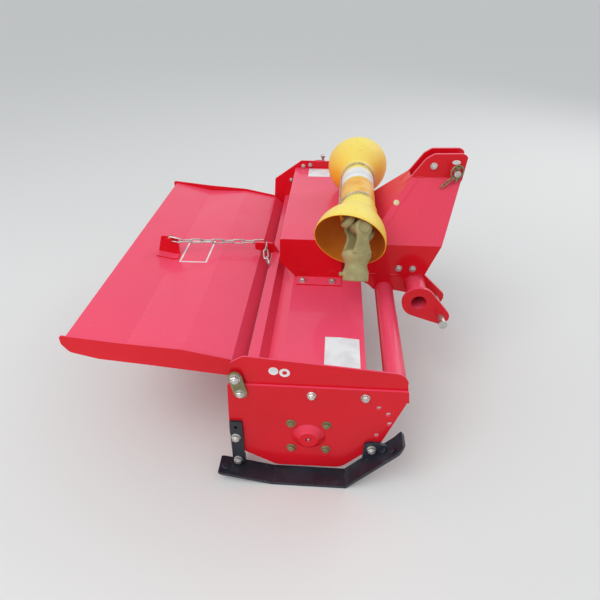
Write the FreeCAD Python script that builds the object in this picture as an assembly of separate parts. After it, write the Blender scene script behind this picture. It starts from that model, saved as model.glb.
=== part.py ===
import FreeCAD, Part
import math
import os

# Rotary tiller for a small tractor, in millimetres. +X points forward to the tractor, +Y to the
# machine's left, +Z up. The sizes below are measured from the rotor's axis in X, from midway
# between the side plates in Y and from rotor_height below the axis in Z. Each piece is then moved
# so that the origin is at the middle of the machine's outline, on the ground under the skids.

V = FreeCAD.Vector
os.makedirs("parts", exist_ok=True)

# Driving sizes of the whole machine
half_width = 524.0
rotor_height = 170.0
ground_z = 28.0
plate_t = 6.0
end_plate_t = 4.0
sheet_t = 3.0
fit = 0.2
run_fit = 0.05
wire_flats = 8
ring_steps = 8

# Hood
deck_z = 394.0
deck_front_x = 136.0
deck_front_z = 388.0
deck_fold_x = 74.0
deck_ridge_x = -70.0
valley_x = -105.0
valley_z = 380.0
rail_front_x = -124.0
rail_rear_x = -151.0
rail_z = 408.0
rail_lip = 20.0

near_plate_out = -half_width
near_plate_in = near_plate_out + plate_t
near_end_in = near_plate_in + end_plate_t
far_plate_out = half_width
far_plate_in = far_plate_out - plate_t

# Front tube
front_tube_x = 208.0
front_tube_z = 358.0
front_tube_r = 28.0
front_tube_wall = 5.0

# Cross-drive box and gear case
box_near_y = -96.0
box_top_z = 524.0
box_rear_x = -111.0
box_chamfer_x = -61.0
box_chamfer_z = 446.0
box_edge_r = 6.0
box_foot = 44.0
box_foot_t = 4.0
drive_x = -18.0
drive_z = 458.0
case_top_r = 70.0
case_bottom_r = 80.0
case_depth = 52.0
cover_t = 6.0
cover_rim = 8.0
boss_r = 48.0
boss_len = 12.0

# Mast over the gearbox
mast_y = 75.0
mast_half = 171.0
mast_sheet_t = 4.0
mast_plate_t = 10.0
mast_low_z = 416.0
mast_shoulder_z = 515.0
mast_top_z = 670.0
mast_rear_x = 141.0
mast_front_low_x = 324.0
mast_front_x = 361.0
mast_top_rear_x = 270.0
mast_top_front_x = 418.0
ear_gap = 46.0
ear_t = 8.0
ear_front_x = 426.0
top_pin_x = 398.0
top_pin_z = 691.0
top_pin_r = 9.5
linch_r = 4.0
linch_len = 40.0
linch_ring_r = 19.0
linch_wire_r = 2.5
linch_turn = 14.0

# Lower hitch
hitch_x = 299.0
hitch_z = 384.0
hitch_tube_r = 30.0
hitch_bore_r = 22.0
hitch_eye_r = 48.0
hitch_plate_t = 10.0
hitch_half = 272.0
low_pin_x = 368.0
low_pin_z = 337.0
low_pin_r = 10.0
low_nose_r = 25.0
low_pin_out = 35.0

# Gearbox and input shaft
gear_block_x0 = -88.0
gear_block_x1 = 62.0
gear_block_half = 65.0
gear_block_top = 515.0
shaft_z = 456.0
snout_r = 40.0
snout_end_x = 214.0
shaft_r = 17.5
shaft_end_x = 322.0
collar_r = 25.0
collar_len = 10.0

# Rotor
tine_clear = 3.0
tine_circle_r = rotor_height - ground_z - tine_clear
rotor_tube_r = 28.0
flange_r = 62.0
flange_t = 8.0
flange_count = 6
flange_twist = 15.0
tines_per_flange = 4
tine_t = 7.0
tine_w = 36.0
blade_len = 74.0
blade_t = 7.0
blade_w = 42.0
journal_r = 17.5
rotor_end_gap = 8.0
hub_flange_r = 65.0
hub_flange_t = 12.0
hub_boss_r = 42.0
hub_boss_len = 16.0
hub_cap_r = 44.0
hub_cap_len = 14.0
hub_cap_nose_r = 24.0

# Rear flap, stored raised
flap_tail_x = -604.0
hinge_x = -180.0
hinge_z = 367.0
hinge_pin_r = 6.0
flap_gap = 5.0
flap_ear_r = 15.0
flap_lip = 8.0
link_w = 17.0
link_bolt_x = -170.0
link_bolt_z = 318.0

# Skids
skid_w = 58.0
skid_in = 8.0
skid_t = 8.0
skid_mount_t = 8.0
skid_corner_r = 18.0
skid_tip_x = 238.0
skid_tip_z = 200.0
skid_nose_x = 224.0
skid_nose_z = 176.0
skid_toe_x = 100.0
skid_heel_x = -93.0
skid_tail_x = -240.0
skid_tail_z = 66.0
skid_pivot_x = 166.0
skid_pivot_z = 141.0
strap_w = 33.0
strap_x = -189.0
strap_top_z = 216.0
strap_hole_z = 197.0
strap_low_z = 60.0
strap_bolt_z = 72.0

# Chain that holds the flap
chain_wire_r = 2.4
chain_pitch = 33.8
chain_inner_w = 8.6
chain_room = 275.0
tail_room = 110.0
chain_count = int(chain_room / chain_pitch)
tail_count = int(tail_room / chain_pitch)
chain_play = 0.3
chain_dy = 93.0
chain_dz = 42.0
chain_slack = chain_inner_w / 2 - chain_wire_r - chain_play
chain_bend = chain_inner_w / 2 + chain_wire_r
chain_half = (chain_pitch - chain_inner_w) / 2
chain_pin_x = -460.0
chain_pin_z = 482.0
chain_pin_r = 3.0
tab_y = -34.0
tab_t = 4.4
tab_foot = 30.0
notch_y = 30.0
notch_t = 5.0
notch_x = -168.0
notch_w = 2 * chain_wire_r + 1.4
notch_slot_z = 424.0
notch_top_z = 443.0

# Stowed drive shaft
tube_r = 50.0
cone_r = 100.0
cone_wall = 3.0
cone_len = 105.0
cone_grip = 12.0
cone_dip = 22.0
cone_swing = 12.0
stow_near_x = 110.0
stow_near_y = -196.0
stow_far_x = 122.0
stow_far_y = 308.0
rest_gap = 0.3
cross_in = 10.0
cross_r = 12.0
yoke_ear_r = 21.0
yoke_ear_t = 12.0
yoke_half = 40.0
yoke_base = 14.0
yoke_arm_out = 62.0
yoke_arm_in = 62.0
yoke_hub_r = 31.0
yoke_len = 142.0
yoke_hang = 30.0
cross_turn = -40.0
shaft_tube_r = 20.0

# Middle of the machine's outline
near_out_y = -half_width + skid_in - skid_w
far_out_y = half_width + case_depth + cover_t + boss_len
to_origin = V(-(flap_tail_x + ear_front_x) / 2, -(near_out_y + far_out_y) / 2, -ground_z)


def export(shape, name):
    placed = shape.translated(to_origin)
    placed.exportStep("parts/%s.step" % name)
    print("%-24s solids %d volume %.0f" % (name, len(placed.Solids), placed.Volume))


def rounded_wire(rows, to_point):
    """Closed wire through rows of (a, b, corner radius); to_point turns (a, b) into a vector."""
    edges = []
    ends = []
    count = len(rows)
    for i, (a, b, r) in enumerate(rows):
        here = V(a, b, 0)
        before = V(rows[i - 1][0], rows[i - 1][1], 0) - here
        after = V(rows[(i + 1) % count][0], rows[(i + 1) % count][1], 0) - here
        before.normalize()
        after.normalize()
        if r <= 0:
            ends.append((here, None, here))
            continue
        half = before.getAngle(after) / 2
        reach = r / math.tan(half)
        middle = before + after
        middle.normalize()
        centre = here + middle * (r / math.sin(half))
        ends.append((here + before * reach, centre - middle * r, here + after * reach))
    for i, (start, mid, end) in enumerate(ends):
        if mid is not None:
            edges.append(Part.Arc(to_point(start), to_point(mid), to_point(end)).toShape())
        next_start = ends[(i + 1) % count][0]
        if (next_start - end).Length > 0.01:
            edges.append(Part.LineSegment(to_point(end), to_point(next_start)).toShape())
    return Part.Wire(edges)


def plate_xz(rows, y0, y1):
    """Flat plate in the XZ plane from rows of (x, z, corner radius), between y0 and y1."""
    wire = rounded_wire(rows, lambda p: V(p.x, y0, p.y))
    return Part.Face(wire).extrude(V(0, y1 - y0, 0))


def plate_yz(rows, x0, x1):
    """Flat plate in the YZ plane from rows of (y, z, corner radius), between x0 and x1."""
    wire = rounded_wire(rows, lambda p: V(x0, p.x, p.y))
    return Part.Face(wire).extrude(V(x1 - x0, 0, 0))


def strip_rows(points, thickness):
    """Outline rows of a bent sheet: points is its upper face, the sheet lies to the right of it."""
    lower = []
    for i, (a, b) in enumerate(points):
        here = V(a, b, 0)
        normals = []
        for j in (i - 1, i):
            if 0 <= j < len(points) - 1:
                run = V(points[j + 1][0] - points[j][0], points[j + 1][1] - points[j][1], 0)
                run.normalize()
                normals.append(V(run.y, -run.x, 0))
        normal = normals[0] + normals[-1]
        normal.normalize()
        spread = thickness / normal.dot(normals[0])
        corner = here + normal * spread
        lower.append((corner.x, corner.y))
    return [(a, b, 0) for a, b in points] + [(a, b, 0) for a, b in reversed(lower)]


def rod_y(x, z, r, y0, y1):
    return Part.makeCylinder(r, y1 - y0, V(x, y0, z), V(0, 1, 0))


def rod_x(y, z, r, x0, x1):
    return Part.makeCylinder(r, x1 - x0, V(x0, y, z), V(1, 0, 0))


def two_circle_plate(x0, z0, r0, x1, z1, r1, y0, y1):
    """Plate whose outline wraps two circles with straight tangents."""
    run = V(x1 - x0, z1 - z0, 0)
    length = run.Length
    along = math.atan2(run.y, run.x)
    lean = math.acos((r0 - r1) / length)

    def at(x, z, r, angle):
        return V(x + r * math.cos(angle), y0, z + r * math.sin(angle))

    up = along + lean
    down = along - lean
    edges = [
        Part.Arc(at(x0, z0, r0, up), at(x0, z0, r0, along + math.pi), at(x0, z0, r0, down)).toShape(),
        Part.LineSegment(at(x0, z0, r0, down), at(x1, z1, r1, down)).toShape(),
        Part.Arc(at(x1, z1, r1, down), at(x1, z1, r1, along), at(x1, z1, r1, up)).toShape(),
        Part.LineSegment(at(x1, z1, r1, up), at(x0, z0, r0, up)).toShape(),
    ]
    return Part.Face(Part.Wire(edges)).extrude(V(0, y1 - y0, 0))


def mirrored(shape, y):
    return shape.mirror(V(0, y, 0), V(0, 1, 0))


def turned(shape, x_axis, y_axis, z_axis):
    """Shape turned so that its own axes lie along the three square unit vectors given."""
    return shape.transformed(FreeCAD.Matrix(
        x_axis.x, y_axis.x, z_axis.x, 0,
        x_axis.y, y_axis.y, z_axis.y, 0,
        x_axis.z, y_axis.z, z_axis.z, 0,
        0, 0, 0, 1,
    ))


def fuse(first, *others):
    return first.multiFuse(list(others)).removeSplitter()


def bent_wire(corners, r):
    """Closed ring of wire with flats, mitred at each (x, z) corner of its middle line."""
    rings = []
    count = len(corners)
    for i, (x, z) in enumerate(corners):
        here = V(x, 0, z)
        before = V(corners[i - 1][0], 0, corners[i - 1][1]) - here
        after = V(corners[(i + 1) % count][0], 0, corners[(i + 1) % count][1]) - here
        before.normalize()
        after.normalize()
        mitre = before + after
        mitre.normalize()
        spread = 1 / math.sin(before.getAngle(after) / 2)
        angles = [2 * math.pi * (k + 0.5) / wire_flats for k in range(wire_flats)]
        rings.append([here + mitre * (r * spread * math.cos(a)) + V(0, r * math.sin(a), 0) for a in angles])
    faces = []
    for i in range(count):
        ring = rings[i]
        following = rings[(i + 1) % count]
        for k in range(wire_flats):
            j = (k + 1) % wire_flats
            outline = Part.makePolygon([ring[k], ring[j], following[j], following[k], ring[k]])
            faces.append(Part.Face(outline))
    solid = Part.Solid(Part.makeShell(faces))
    if solid.Volume < 0:
        solid.reverse()
    return solid


# Hood: deck with its ridge, valley and raised rear rail
deck_points = [
    (rail_rear_x, rail_z - rail_lip),
    (rail_rear_x, rail_z),
    (rail_front_x, rail_z),
    (valley_x, valley_z),
    (deck_ridge_x, deck_z),
    (deck_fold_x, deck_z),
    (deck_front_x, deck_front_z),
]
deck = plate_xz(strip_rows(deck_points, sheet_t), near_end_in, far_plate_in)
export(deck, "hood_deck")

# Near side: hood end plate, with the bolted side plate over its lower edge
end_plate_rows = [
    (-196, 262, 0),
    (-196, 404, 14),
    (-158, 428, 22),
    (232, 392, 34),
    (247, 300, 0),
    (150, 300, 0),
    (100, 262, 0),
]
hinge_hole = rod_y(hinge_x, hinge_z, hinge_pin_r, -2 * half_width, 2 * half_width)
end_near = plate_xz(end_plate_rows, near_plate_in, near_end_in).cut(hinge_hole)
export(end_near, "hood_end_near")

side_plate_rows = [
    (-202, 342, 6),
    (-209, 165, 12),
    (-172, 98, 30),
    (-87, 50, 40),
    (89, 52, 40),
    (189, 157, 40),
    (244, 317, 20),
    (241, 342, 4),
]
side_holes = [(174, 284), (199, 264), (205, 230), (176, 186)]
side_near = plate_xz(side_plate_rows, near_plate_out, near_plate_in)
for hole_x, hole_z in side_holes:
    side_near = side_near.cut(rod_y(hole_x, hole_z, 6.5, near_plate_out, near_plate_in))
side_near = side_near.cut(rod_y(0, rotor_height, hub_boss_r, near_plate_out, near_plate_in))
export(side_near, "side_plate_near")

# Near bearing: housing inside the plate, coned cap outside
housing = fuse(
    rod_y(0, rotor_height, hub_flange_r, near_plate_in, near_plate_in + hub_flange_t),
    rod_y(0, rotor_height, hub_boss_r, near_plate_out, near_plate_in + hub_flange_t + hub_boss_len),
)
bore = rod_y(0, rotor_height, journal_r + run_fit, near_plate_out + plate_t,
             near_plate_in + hub_flange_t + hub_boss_len)
housing = housing.cut(bore)
export(housing, "bearing_housing")
cap = Part.makeCone(hub_cap_r, hub_cap_nose_r, hub_cap_len, V(0, near_plate_out, rotor_height), V(0, -1, 0))
cap = cap.cut(rod_y(0, rotor_height, 7, near_plate_out - hub_cap_len, near_plate_out - 4))
export(cap, "bearing_cap")

# Far side: structural plate, oil case of the side gears and its cover
far_plate_rows = [
    (-87, 50, 40),
    (-172, 98, 30),
    (-209, 165, 12),
    (-191, 477, 8),
    (-87, 552, 8),
    (62, 552, 12),
    (110, 430, 30),
    (232, 394, 30),
    (246, 317, 20),
    (189, 157, 40),
    (89, 52, 40),
]
plate_far = plate_xz(far_plate_rows, far_plate_in, far_plate_out).cut(hinge_hole)
plate_far = fuse(plate_far, rod_y(0, rotor_height, hub_boss_r, far_plate_in - hub_boss_len, far_plate_in))
plate_far = plate_far.cut(rod_y(0, rotor_height, journal_r + run_fit, far_plate_in - hub_boss_len, far_plate_out))
export(plate_far, "side_plate_far")
case_out = far_plate_out + case_depth
case = two_circle_plate(0, rotor_height, case_bottom_r, drive_x, drive_z, case_top_r, far_plate_out, case_out)
export(case, "gear_case")
cover = two_circle_plate(0, rotor_height, case_bottom_r + cover_rim, drive_x, drive_z,
                         case_top_r + cover_rim, case_out, case_out + cover_t)
boss = Part.makeCone(boss_r, boss_r - boss_len, boss_len, V(0, case_out + cover_t, rotor_height), V(0, 1, 0))
export(fuse(cover, boss), "gear_case_cover")

# Front tube
tube_cut = rod_y(front_tube_x, front_tube_z, front_tube_r, near_end_in, far_plate_in)
front_tube = tube_cut.cut(rod_y(front_tube_x, front_tube_z, front_tube_r - front_tube_wall,
                                near_end_in, far_plate_in))
export(front_tube, "front_tube")

# Cross-drive box on the deck, open below, with a bolted foot at its near end
box_rows = [
    (box_rear_x, box_top_z, box_edge_r),
    (deck_fold_x, box_top_z, box_edge_r),
    (deck_fold_x, deck_z, 0),
    (box_chamfer_x, deck_z, 0),
    (box_rear_x, box_chamfer_z, 0),
]
lean = math.hypot(box_chamfer_x - box_rear_x, box_chamfer_z - deck_z) / (box_chamfer_z - deck_z)
inner_rows = [
    (box_rear_x + sheet_t, box_top_z - sheet_t, box_edge_r - sheet_t),
    (deck_fold_x - sheet_t, box_top_z - sheet_t, box_edge_r - sheet_t),
    (deck_fold_x - sheet_t, deck_z - 1, 0),
    (box_chamfer_x + sheet_t * lean, deck_z - 1, 0),
    (box_rear_x + sheet_t, box_chamfer_z + sheet_t * 0.4, 0),
]
drive_box = plate_xz(box_rows, box_near_y, far_plate_in)
drive_box = drive_box.cut(plate_xz(inner_rows, box_near_y + sheet_t, far_plate_in))
foot = Part.makeBox(deck_fold_x - box_chamfer_x, box_foot, box_foot_t,
                    V(box_chamfer_x, box_near_y - box_foot, deck_z))
drive_box = fuse(drive_box, foot)
drive_box = drive_box.cut(rod_x(mast_y, shaft_z, snout_r, deck_fold_x - 2 * sheet_t, deck_fold_x + 1))
export(drive_box, "drive_box")

# Gearbox with its snout, and the input shaft
block = Part.makeBox(gear_block_x1 - gear_block_x0, 2 * gear_block_half, gear_block_top - deck_z,
                     V(gear_block_x0, mast_y - gear_block_half, deck_z))
block = block.cut(plate_xz([(gear_block_x0 - 1, deck_z, 0), (-40, deck_z, 0),
                            (gear_block_x0 - 1, box_chamfer_z + 20, 0)],
                           mast_y - gear_block_half, mast_y + gear_block_half))
gearbox = fuse(block, rod_x(mast_y, shaft_z, snout_r, gear_block_x1, snout_end_x))
gearbox = gearbox.cut(rod_x(mast_y, shaft_z, shaft_r + run_fit, gear_block_x1, snout_end_x))
export(gearbox, "gearbox")
shaft = fuse(
    rod_x(mast_y, shaft_z, shaft_r, gear_block_x1, shaft_end_x),
    rod_x(mast_y, shaft_z, collar_r, snout_end_x + 1, snout_end_x + 1 + collar_len),
)
export(shaft, "input_shaft")

# Lower mast plates: seated on deck, front tube and hitch tube, with the inner clevis nose
mast_near_y = mast_y - mast_half
mast_plate_y = mast_near_y + mast_sheet_t
mast_plate_rows = [
    (deck_fold_x, deck_z, 0),
    (deck_front_x, deck_front_z, 0),
    (160, 374, 12),
    (176, front_tube_z, 0),
    (240, front_tube_z, 0),
    (272, 352, 10),
    (low_pin_x, low_pin_z - low_nose_r, 0),
    (low_pin_x + low_nose_r, low_pin_z, 0),
    (low_pin_x + low_nose_r, low_pin_z + 12, 12),
    (mast_front_low_x, mast_low_z, 0),
    (mast_front_low_x + 8, 452, 6),
    (mast_rear_x + 6, 452, 6),
    (mast_rear_x - 20, mast_low_z, 12),
    (deck_fold_x, mast_low_z, 4),
]
mast_plate = plate_xz(mast_plate_rows, mast_plate_y, mast_plate_y + mast_plate_t)
mast_plate = fuse(mast_plate, rod_y(low_pin_x, low_pin_z, low_nose_r, mast_plate_y, mast_plate_y + mast_plate_t))
mast_plate = mast_plate.cut(tube_cut)
mast_plate = mast_plate.cut(rod_y(hitch_x, hitch_z, hitch_tube_r, mast_plate_y, mast_plate_y + mast_plate_t))
mast_plate = mast_plate.cut(rod_y(low_pin_x, low_pin_z, low_pin_r + fit, mast_plate_y, mast_plate_y + mast_plate_t))
export(mast_plate, "mast_plate_near")
export(mirrored(mast_plate, mast_y), "mast_plate_far")

# Folded mast shells, rear sheet and top-link ears
ear_out = ear_gap / 2 + ear_t
mast_side_rows = [
    (mast_rear_x, mast_low_z, 0),
    (mast_rear_x, mast_shoulder_z, 0),
    (mast_top_rear_x, mast_top_z, 0),
    (mast_top_front_x, mast_top_z, 0),
    (mast_front_x, mast_shoulder_z, 0),
    (mast_front_low_x, mast_low_z, 0),
]
mast_prism = plate_xz(mast_side_rows, mast_near_y, mast_y + mast_half)
shell_points = [
    (mast_near_y, mast_low_z),
    (mast_near_y, mast_shoulder_z),
    (mast_y - ear_out, mast_top_z),
]
shell_sheet = plate_yz(strip_rows(shell_points, mast_sheet_t), mast_rear_x, mast_top_front_x)
shell_near = shell_sheet.common(mast_prism)
shell_far = mirrored(shell_near, mast_y)
export(shell_near, "mast_shell_near")
export(shell_far, "mast_shell_far")

ear_rows = [
    (mast_top_rear_x - 26, mast_top_z - 30, 0),
    (mast_top_rear_x + 4, mast_top_z + 7, 0),
    (308, 726, 16),
    (330, 740, 12),
    (412, 742, 10),
    (ear_front_x, 734, 8),
    (mast_top_front_x + 2, mast_top_z - 4, 0),
    (mast_top_front_x - 8, mast_top_z - 30, 0),
]
ear = plate_xz(ear_rows, mast_y - ear_out, mast_y - ear_out + ear_t)
ear = ear.cut(rod_y(top_pin_x, top_pin_z, top_pin_r + fit, mast_y - ear_out, mast_y - ear_out + ear_t))
ear = ear.cut(shell_near)
ear_far = mirrored(ear, mast_y)
export(ear, "top_ear_near")
export(ear_far, "top_ear_far")

rear_points = [(mast_rear_x, mast_low_z), (mast_rear_x, mast_shoulder_z), (mast_top_rear_x, mast_top_z)]
rear_sheet = plate_xz(strip_rows(rear_points, mast_sheet_t), mast_near_y, mast_y + mast_half)
mast_cross_rows = [
    (mast_near_y, mast_low_z, 0),
    (mast_near_y, mast_shoulder_z, 0),
    (mast_y - ear_out, mast_top_z, 0),
    (mast_y + ear_out, mast_top_z, 0),
    (mast_y + mast_half, mast_shoulder_z, 0),
    (mast_y + mast_half, mast_low_z, 0),
]
rear_sheet = rear_sheet.common(plate_yz(mast_cross_rows, mast_rear_x - 1, mast_top_front_x))
for neighbour in (shell_near, shell_far, ear, ear_far, mast_plate, mirrored(mast_plate, mast_y)):
    rear_sheet = rear_sheet.cut(neighbour)
rear_sheet = rear_sheet.cut(rod_x(mast_y, shaft_z, snout_r, mast_rear_x - 1, mast_rear_x + 2 * mast_sheet_t))
rear_sheet = rear_sheet.cut(Part.makeBox(2 * mast_sheet_t + 1, 2 * snout_r, shaft_z - mast_low_z + 1,
                                         V(mast_rear_x - 1, mast_y - snout_r, mast_low_z - 1)))
export(rear_sheet, "mast_rear_sheet")

# Lower hitch: cross tube, outer clevis plates, pins
hitch_tube = rod_y(hitch_x, hitch_z, hitch_tube_r, mast_y - hitch_half, mast_y + hitch_half)
hitch_tube = hitch_tube.cut(rod_y(hitch_x, hitch_z, hitch_bore_r, mast_y - hitch_half, mast_y + hitch_half))
export(hitch_tube, "hitch_tube")
hitch_plate = two_circle_plate(hitch_x, hitch_z, hitch_eye_r, low_pin_x, low_pin_z, low_nose_r,
                               mast_y - hitch_half, mast_y - hitch_half + hitch_plate_t)
hitch_plate = hitch_plate.cut(hitch_tube)
hitch_plate = hitch_plate.cut(rod_y(hitch_x, hitch_z, hitch_bore_r, mast_y - hitch_half, mast_y))
hitch_plate = hitch_plate.cut(rod_y(low_pin_x, low_pin_z, low_pin_r + fit, mast_y - hitch_half, mast_y))
export(hitch_plate, "hitch_plate_near")
export(mirrored(hitch_plate, mast_y), "hitch_plate_far")
low_pin = fuse(
    rod_y(low_pin_x, low_pin_z, low_pin_r, mast_y - hitch_half - low_pin_out, mast_plate_y + mast_plate_t + 8),
    rod_y(low_pin_x, low_pin_z, low_pin_r + 3, mast_y - hitch_half - low_pin_out - 5,
          mast_y - hitch_half - low_pin_out),
)
export(Part.makeCompound([low_pin, mirrored(low_pin, mast_y)]), "lower_pins")
top_pin = fuse(
    rod_y(top_pin_x, top_pin_z, top_pin_r, mast_y - ear_out - 26, mast_y + ear_out + 4),
    rod_y(top_pin_x, top_pin_z, top_pin_r + 5, mast_y + ear_out + 4, mast_y + ear_out + 12),
)
linch_y = mast_y - ear_out - 18
linch_hole = Part.makeCylinder(linch_r + run_fit, 2 * top_pin_r, V(top_pin_x, linch_y, top_pin_z - top_pin_r),
                               V(0, 0, 1))
top_pin = top_pin.cut(linch_hole)
linch_head_z = top_pin_z + top_pin_r + 3
ring_corners = []
for i in range(2 * ring_steps):
    angle = math.pi * (i + 0.5) / ring_steps
    ring_corners.append((linch_ring_r * math.cos(angle), linch_ring_r * math.sin(angle)))
linch_ring = bent_wire(ring_corners, linch_wire_r)
linch_ring.rotate(V(0, 0, 0), V(0, 0, 1), linch_turn)
linch_ring.translate(V(top_pin_x, linch_y, linch_head_z + 2 * linch_r + linch_wire_r - linch_ring_r))
linch = fuse(
    Part.makeCylinder(linch_r, linch_len, V(top_pin_x, linch_y, linch_head_z - linch_len), V(0, 0, 1)),
    Part.makeCylinder(2 * linch_r, 2 * linch_r, V(top_pin_x, linch_y, linch_head_z), V(0, 0, 1)),
    linch_ring.cut(top_pin),
)
export(top_pin, "top_pin")
export(linch, "linch_pin")


# Rotor: tube, tine flanges and L-shaped tines, with its two journals
def tine(side):
    """One tine pointing up from the rotor's axis and swept back to -X as it turns forward.

    Its blade is bent to side +1 or -1 along Y.
    """
    shank_rows = [
        (tine_w / 2, rotor_tube_r + 10, 0),
        (-tine_w / 2, rotor_tube_r + 10, 0),
        (-tine_w / 2 - 2, flange_r + 6, 0),
        (-blade_w + 2, tine_circle_r + 6, 0),
        (0, tine_circle_r + 6, 0),
        (tine_w / 2, flange_r + 26, 0),
        (tine_w / 2 + 2, flange_r + 8, 0),
    ]
    shank = plate_xz(shank_rows, 0, tine_t).common(rod_y(0, 0, tine_circle_r, 0, tine_t))
    ring = rod_y(0, 0, tine_circle_r, 0, blade_len).cut(rod_y(0, 0, tine_circle_r - blade_t, 0, blade_len))
    wedge_rows = [
        (0, 0, 0),
        (0, tine_circle_r + 20, 0),
        (-blade_w * (tine_circle_r + 20) / tine_circle_r, tine_circle_r + 20, 0),
    ]
    piece = shank.fuse(ring.common(plate_xz(wedge_rows, 0, blade_len)))
    return piece if side > 0 else mirrored(piece, 0)


rotor_near = near_plate_in + hub_flange_t + hub_boss_len + 2
rotor_far = far_plate_in - hub_boss_len - 2
flange_first = rotor_near + blade_len + rotor_end_gap
flange_last = rotor_far - blade_len - rotor_end_gap
flange_step = (flange_last - flange_first) / (flange_count - 1)
rotor_parts = [
    rod_y(0, 0, rotor_tube_r, rotor_near, rotor_far),
    rod_y(0, 0, journal_r, near_plate_in, far_plate_out - 1),
]
for i in range(flange_count):
    y = flange_first + i * flange_step
    rotor_parts.append(rod_y(0, 0, flange_r, y - flange_t / 2, y + flange_t / 2))
    for k in range(tines_per_flange):
        side = 1 if k % 2 == 0 else -1
        piece = tine(side)
        piece.rotate(V(0, 0, 0), V(0, 1, 0), k * 360.0 / tines_per_flange + i * flange_twist)
        piece.translate(V(0, y + side * flange_t / 2, 0))
        rotor_parts.append(piece)
rotor = rotor_parts[0].multiFuse(rotor_parts[1:])
rotor.translate(V(0, 0, rotor_height))
export(rotor, "rotor")

# Rear flap, its end plates, the hinge links and pins
flap_near = near_end_in + flap_gap
flap_far = far_plate_in - flap_gap
flap_points = [(-592, 452), (-452, 424), (-309, 425), (-190, 402), (-160, 374)]
flap = plate_xz(strip_rows(flap_points, sheet_t), flap_near + sheet_t, flap_far - sheet_t)
export(flap, "flap")
flap_end_rows = [
    (flap_tail_x, 434, 14),
    (flap_tail_x, 460, 8),
    (-456, 436 + flap_lip, 0),
    (-309, 425 + flap_lip, 0),
    (-196, 402 + flap_lip, 14),
    (hinge_x + flap_ear_r, hinge_z + 12, 12),
    (hinge_x + flap_ear_r, hinge_z - flap_ear_r, 12),
    (-204, 358, 0),
    (-400, 380, 0),
    (-520, 392, 0),
    (-588, 410, 20),
]
flap_end = plate_xz(flap_end_rows, flap_near, flap_near + sheet_t)
flap_spacer = rod_y(hinge_x, hinge_z, 11, near_end_in + 0.3, flap_near)
flap_end_near = fuse(flap_end, flap_spacer).cut(rod_y(hinge_x, hinge_z, hinge_pin_r + run_fit,
                                                      near_end_in, flap_near + sheet_t))
export(flap_end_near, "flap_end_near")
flap_middle = (flap_near + flap_far) / 2
export(mirrored(flap_end_near, flap_middle), "flap_end_far")

link = two_circle_plate(hinge_x, hinge_z, link_w, link_bolt_x, link_bolt_z, link_w,
                        near_plate_out - 5, near_plate_out)
link_near = fuse(link, rod_y(hinge_x, hinge_z, 12, near_plate_out, near_plate_in),
                 rod_y(hinge_x, hinge_z, hinge_pin_r, near_plate_in, flap_near + sheet_t + 6))
export(link_near, "hinge_link_near")
link_far = two_circle_plate(hinge_x, hinge_z, link_w, link_bolt_x, link_bolt_z, link_w,
                            far_plate_out, far_plate_out + 5)
link_far = fuse(link_far, rod_y(hinge_x, hinge_z, hinge_pin_r, flap_far - sheet_t - 6, far_plate_out))
export(link_far, "hinge_link_far")

# Skids: bent flat bars, each with a front ear and a rear strap bolted on the side plate
skid_top_z = ground_z + skid_t
skid_points = [
    (skid_tip_x, skid_tip_z),
    (skid_nose_x, skid_nose_z),
    (skid_toe_x, skid_top_z),
    (skid_heel_x, skid_top_z),
    (skid_tail_x, skid_tail_z),
]
skid_y = near_plate_out - skid_mount_t
sole_plan = [
    (skid_tail_x - skid_t, near_out_y, skid_corner_r),
    (skid_tip_x + skid_t, near_out_y, skid_corner_r),
    (skid_tip_x + skid_t, near_out_y + skid_w, skid_corner_r),
    (skid_tail_x - skid_t, near_out_y + skid_w, skid_corner_r),
]
sole = plate_xz(strip_rows(skid_points, -skid_t), near_out_y, near_out_y + skid_w)
sole_blank = Part.Face(rounded_wire(sole_plan, lambda p: p)).extrude(V(0, 0, skid_tip_z + 2 * skid_t))
sole = sole.common(sole_blank)
nose_rise = (skid_nose_z - skid_top_z) / (skid_nose_x - skid_toe_x)
ear_foot_x = skid_pivot_x - 22
ear_toe_x = skid_pivot_x + 38
front_ear_rows = [
    (skid_pivot_x - 21, skid_pivot_z, 12),
    (skid_pivot_x - 19, skid_pivot_z + 21, 14),
    (skid_pivot_x + 16, skid_pivot_z + 22, 16),
    (ear_toe_x, skid_top_z + (ear_toe_x - skid_toe_x) * nose_rise, 0),
    (ear_toe_x, skid_top_z + (ear_toe_x - skid_toe_x) * nose_rise - skid_t, 0),
    (ear_foot_x, skid_top_z + (ear_foot_x - skid_toe_x) * nose_rise - skid_t, 0),
]
front_ear = plate_xz(front_ear_rows, skid_y, near_plate_out)
tail_rise = (skid_tail_z - skid_top_z) / (skid_heel_x - skid_tail_x)
rear_ear_rows = [
    (strap_x - strap_w / 2, skid_top_z + (skid_heel_x - strap_x + strap_w / 2) * tail_rise - 2, 0),
    (strap_x - strap_w / 2, strap_bolt_z + strap_w / 2, 12),
    (strap_x + strap_w / 2, strap_bolt_z + strap_w / 2, 12),
    (strap_x + strap_w / 2, skid_top_z + (skid_heel_x - strap_x - strap_w / 2) * tail_rise - 2, 0),
]
rear_ear = plate_xz(rear_ear_rows, near_plate_out, near_plate_out + skid_in)
skid_near = fuse(sole, front_ear, rear_ear)
export(skid_near, "skid_near")
export(mirrored(skid_near, 0), "skid_far")
strap_rows = [
    (strap_x - strap_w / 2, strap_low_z, 3),
    (strap_x - strap_w / 2, strap_top_z, 3),
    (strap_x + strap_w / 2, strap_top_z, 3),
    (strap_x + strap_w / 2, strap_low_z, 3),
]
strap = plate_xz(strap_rows, skid_y, near_plate_out)
strap = strap.cut(rod_y(strap_x, strap_hole_z, 5.5, skid_y, near_plate_out))
export(Part.makeCompound([strap, mirrored(strap, 0)]), "skid_straps")


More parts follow.
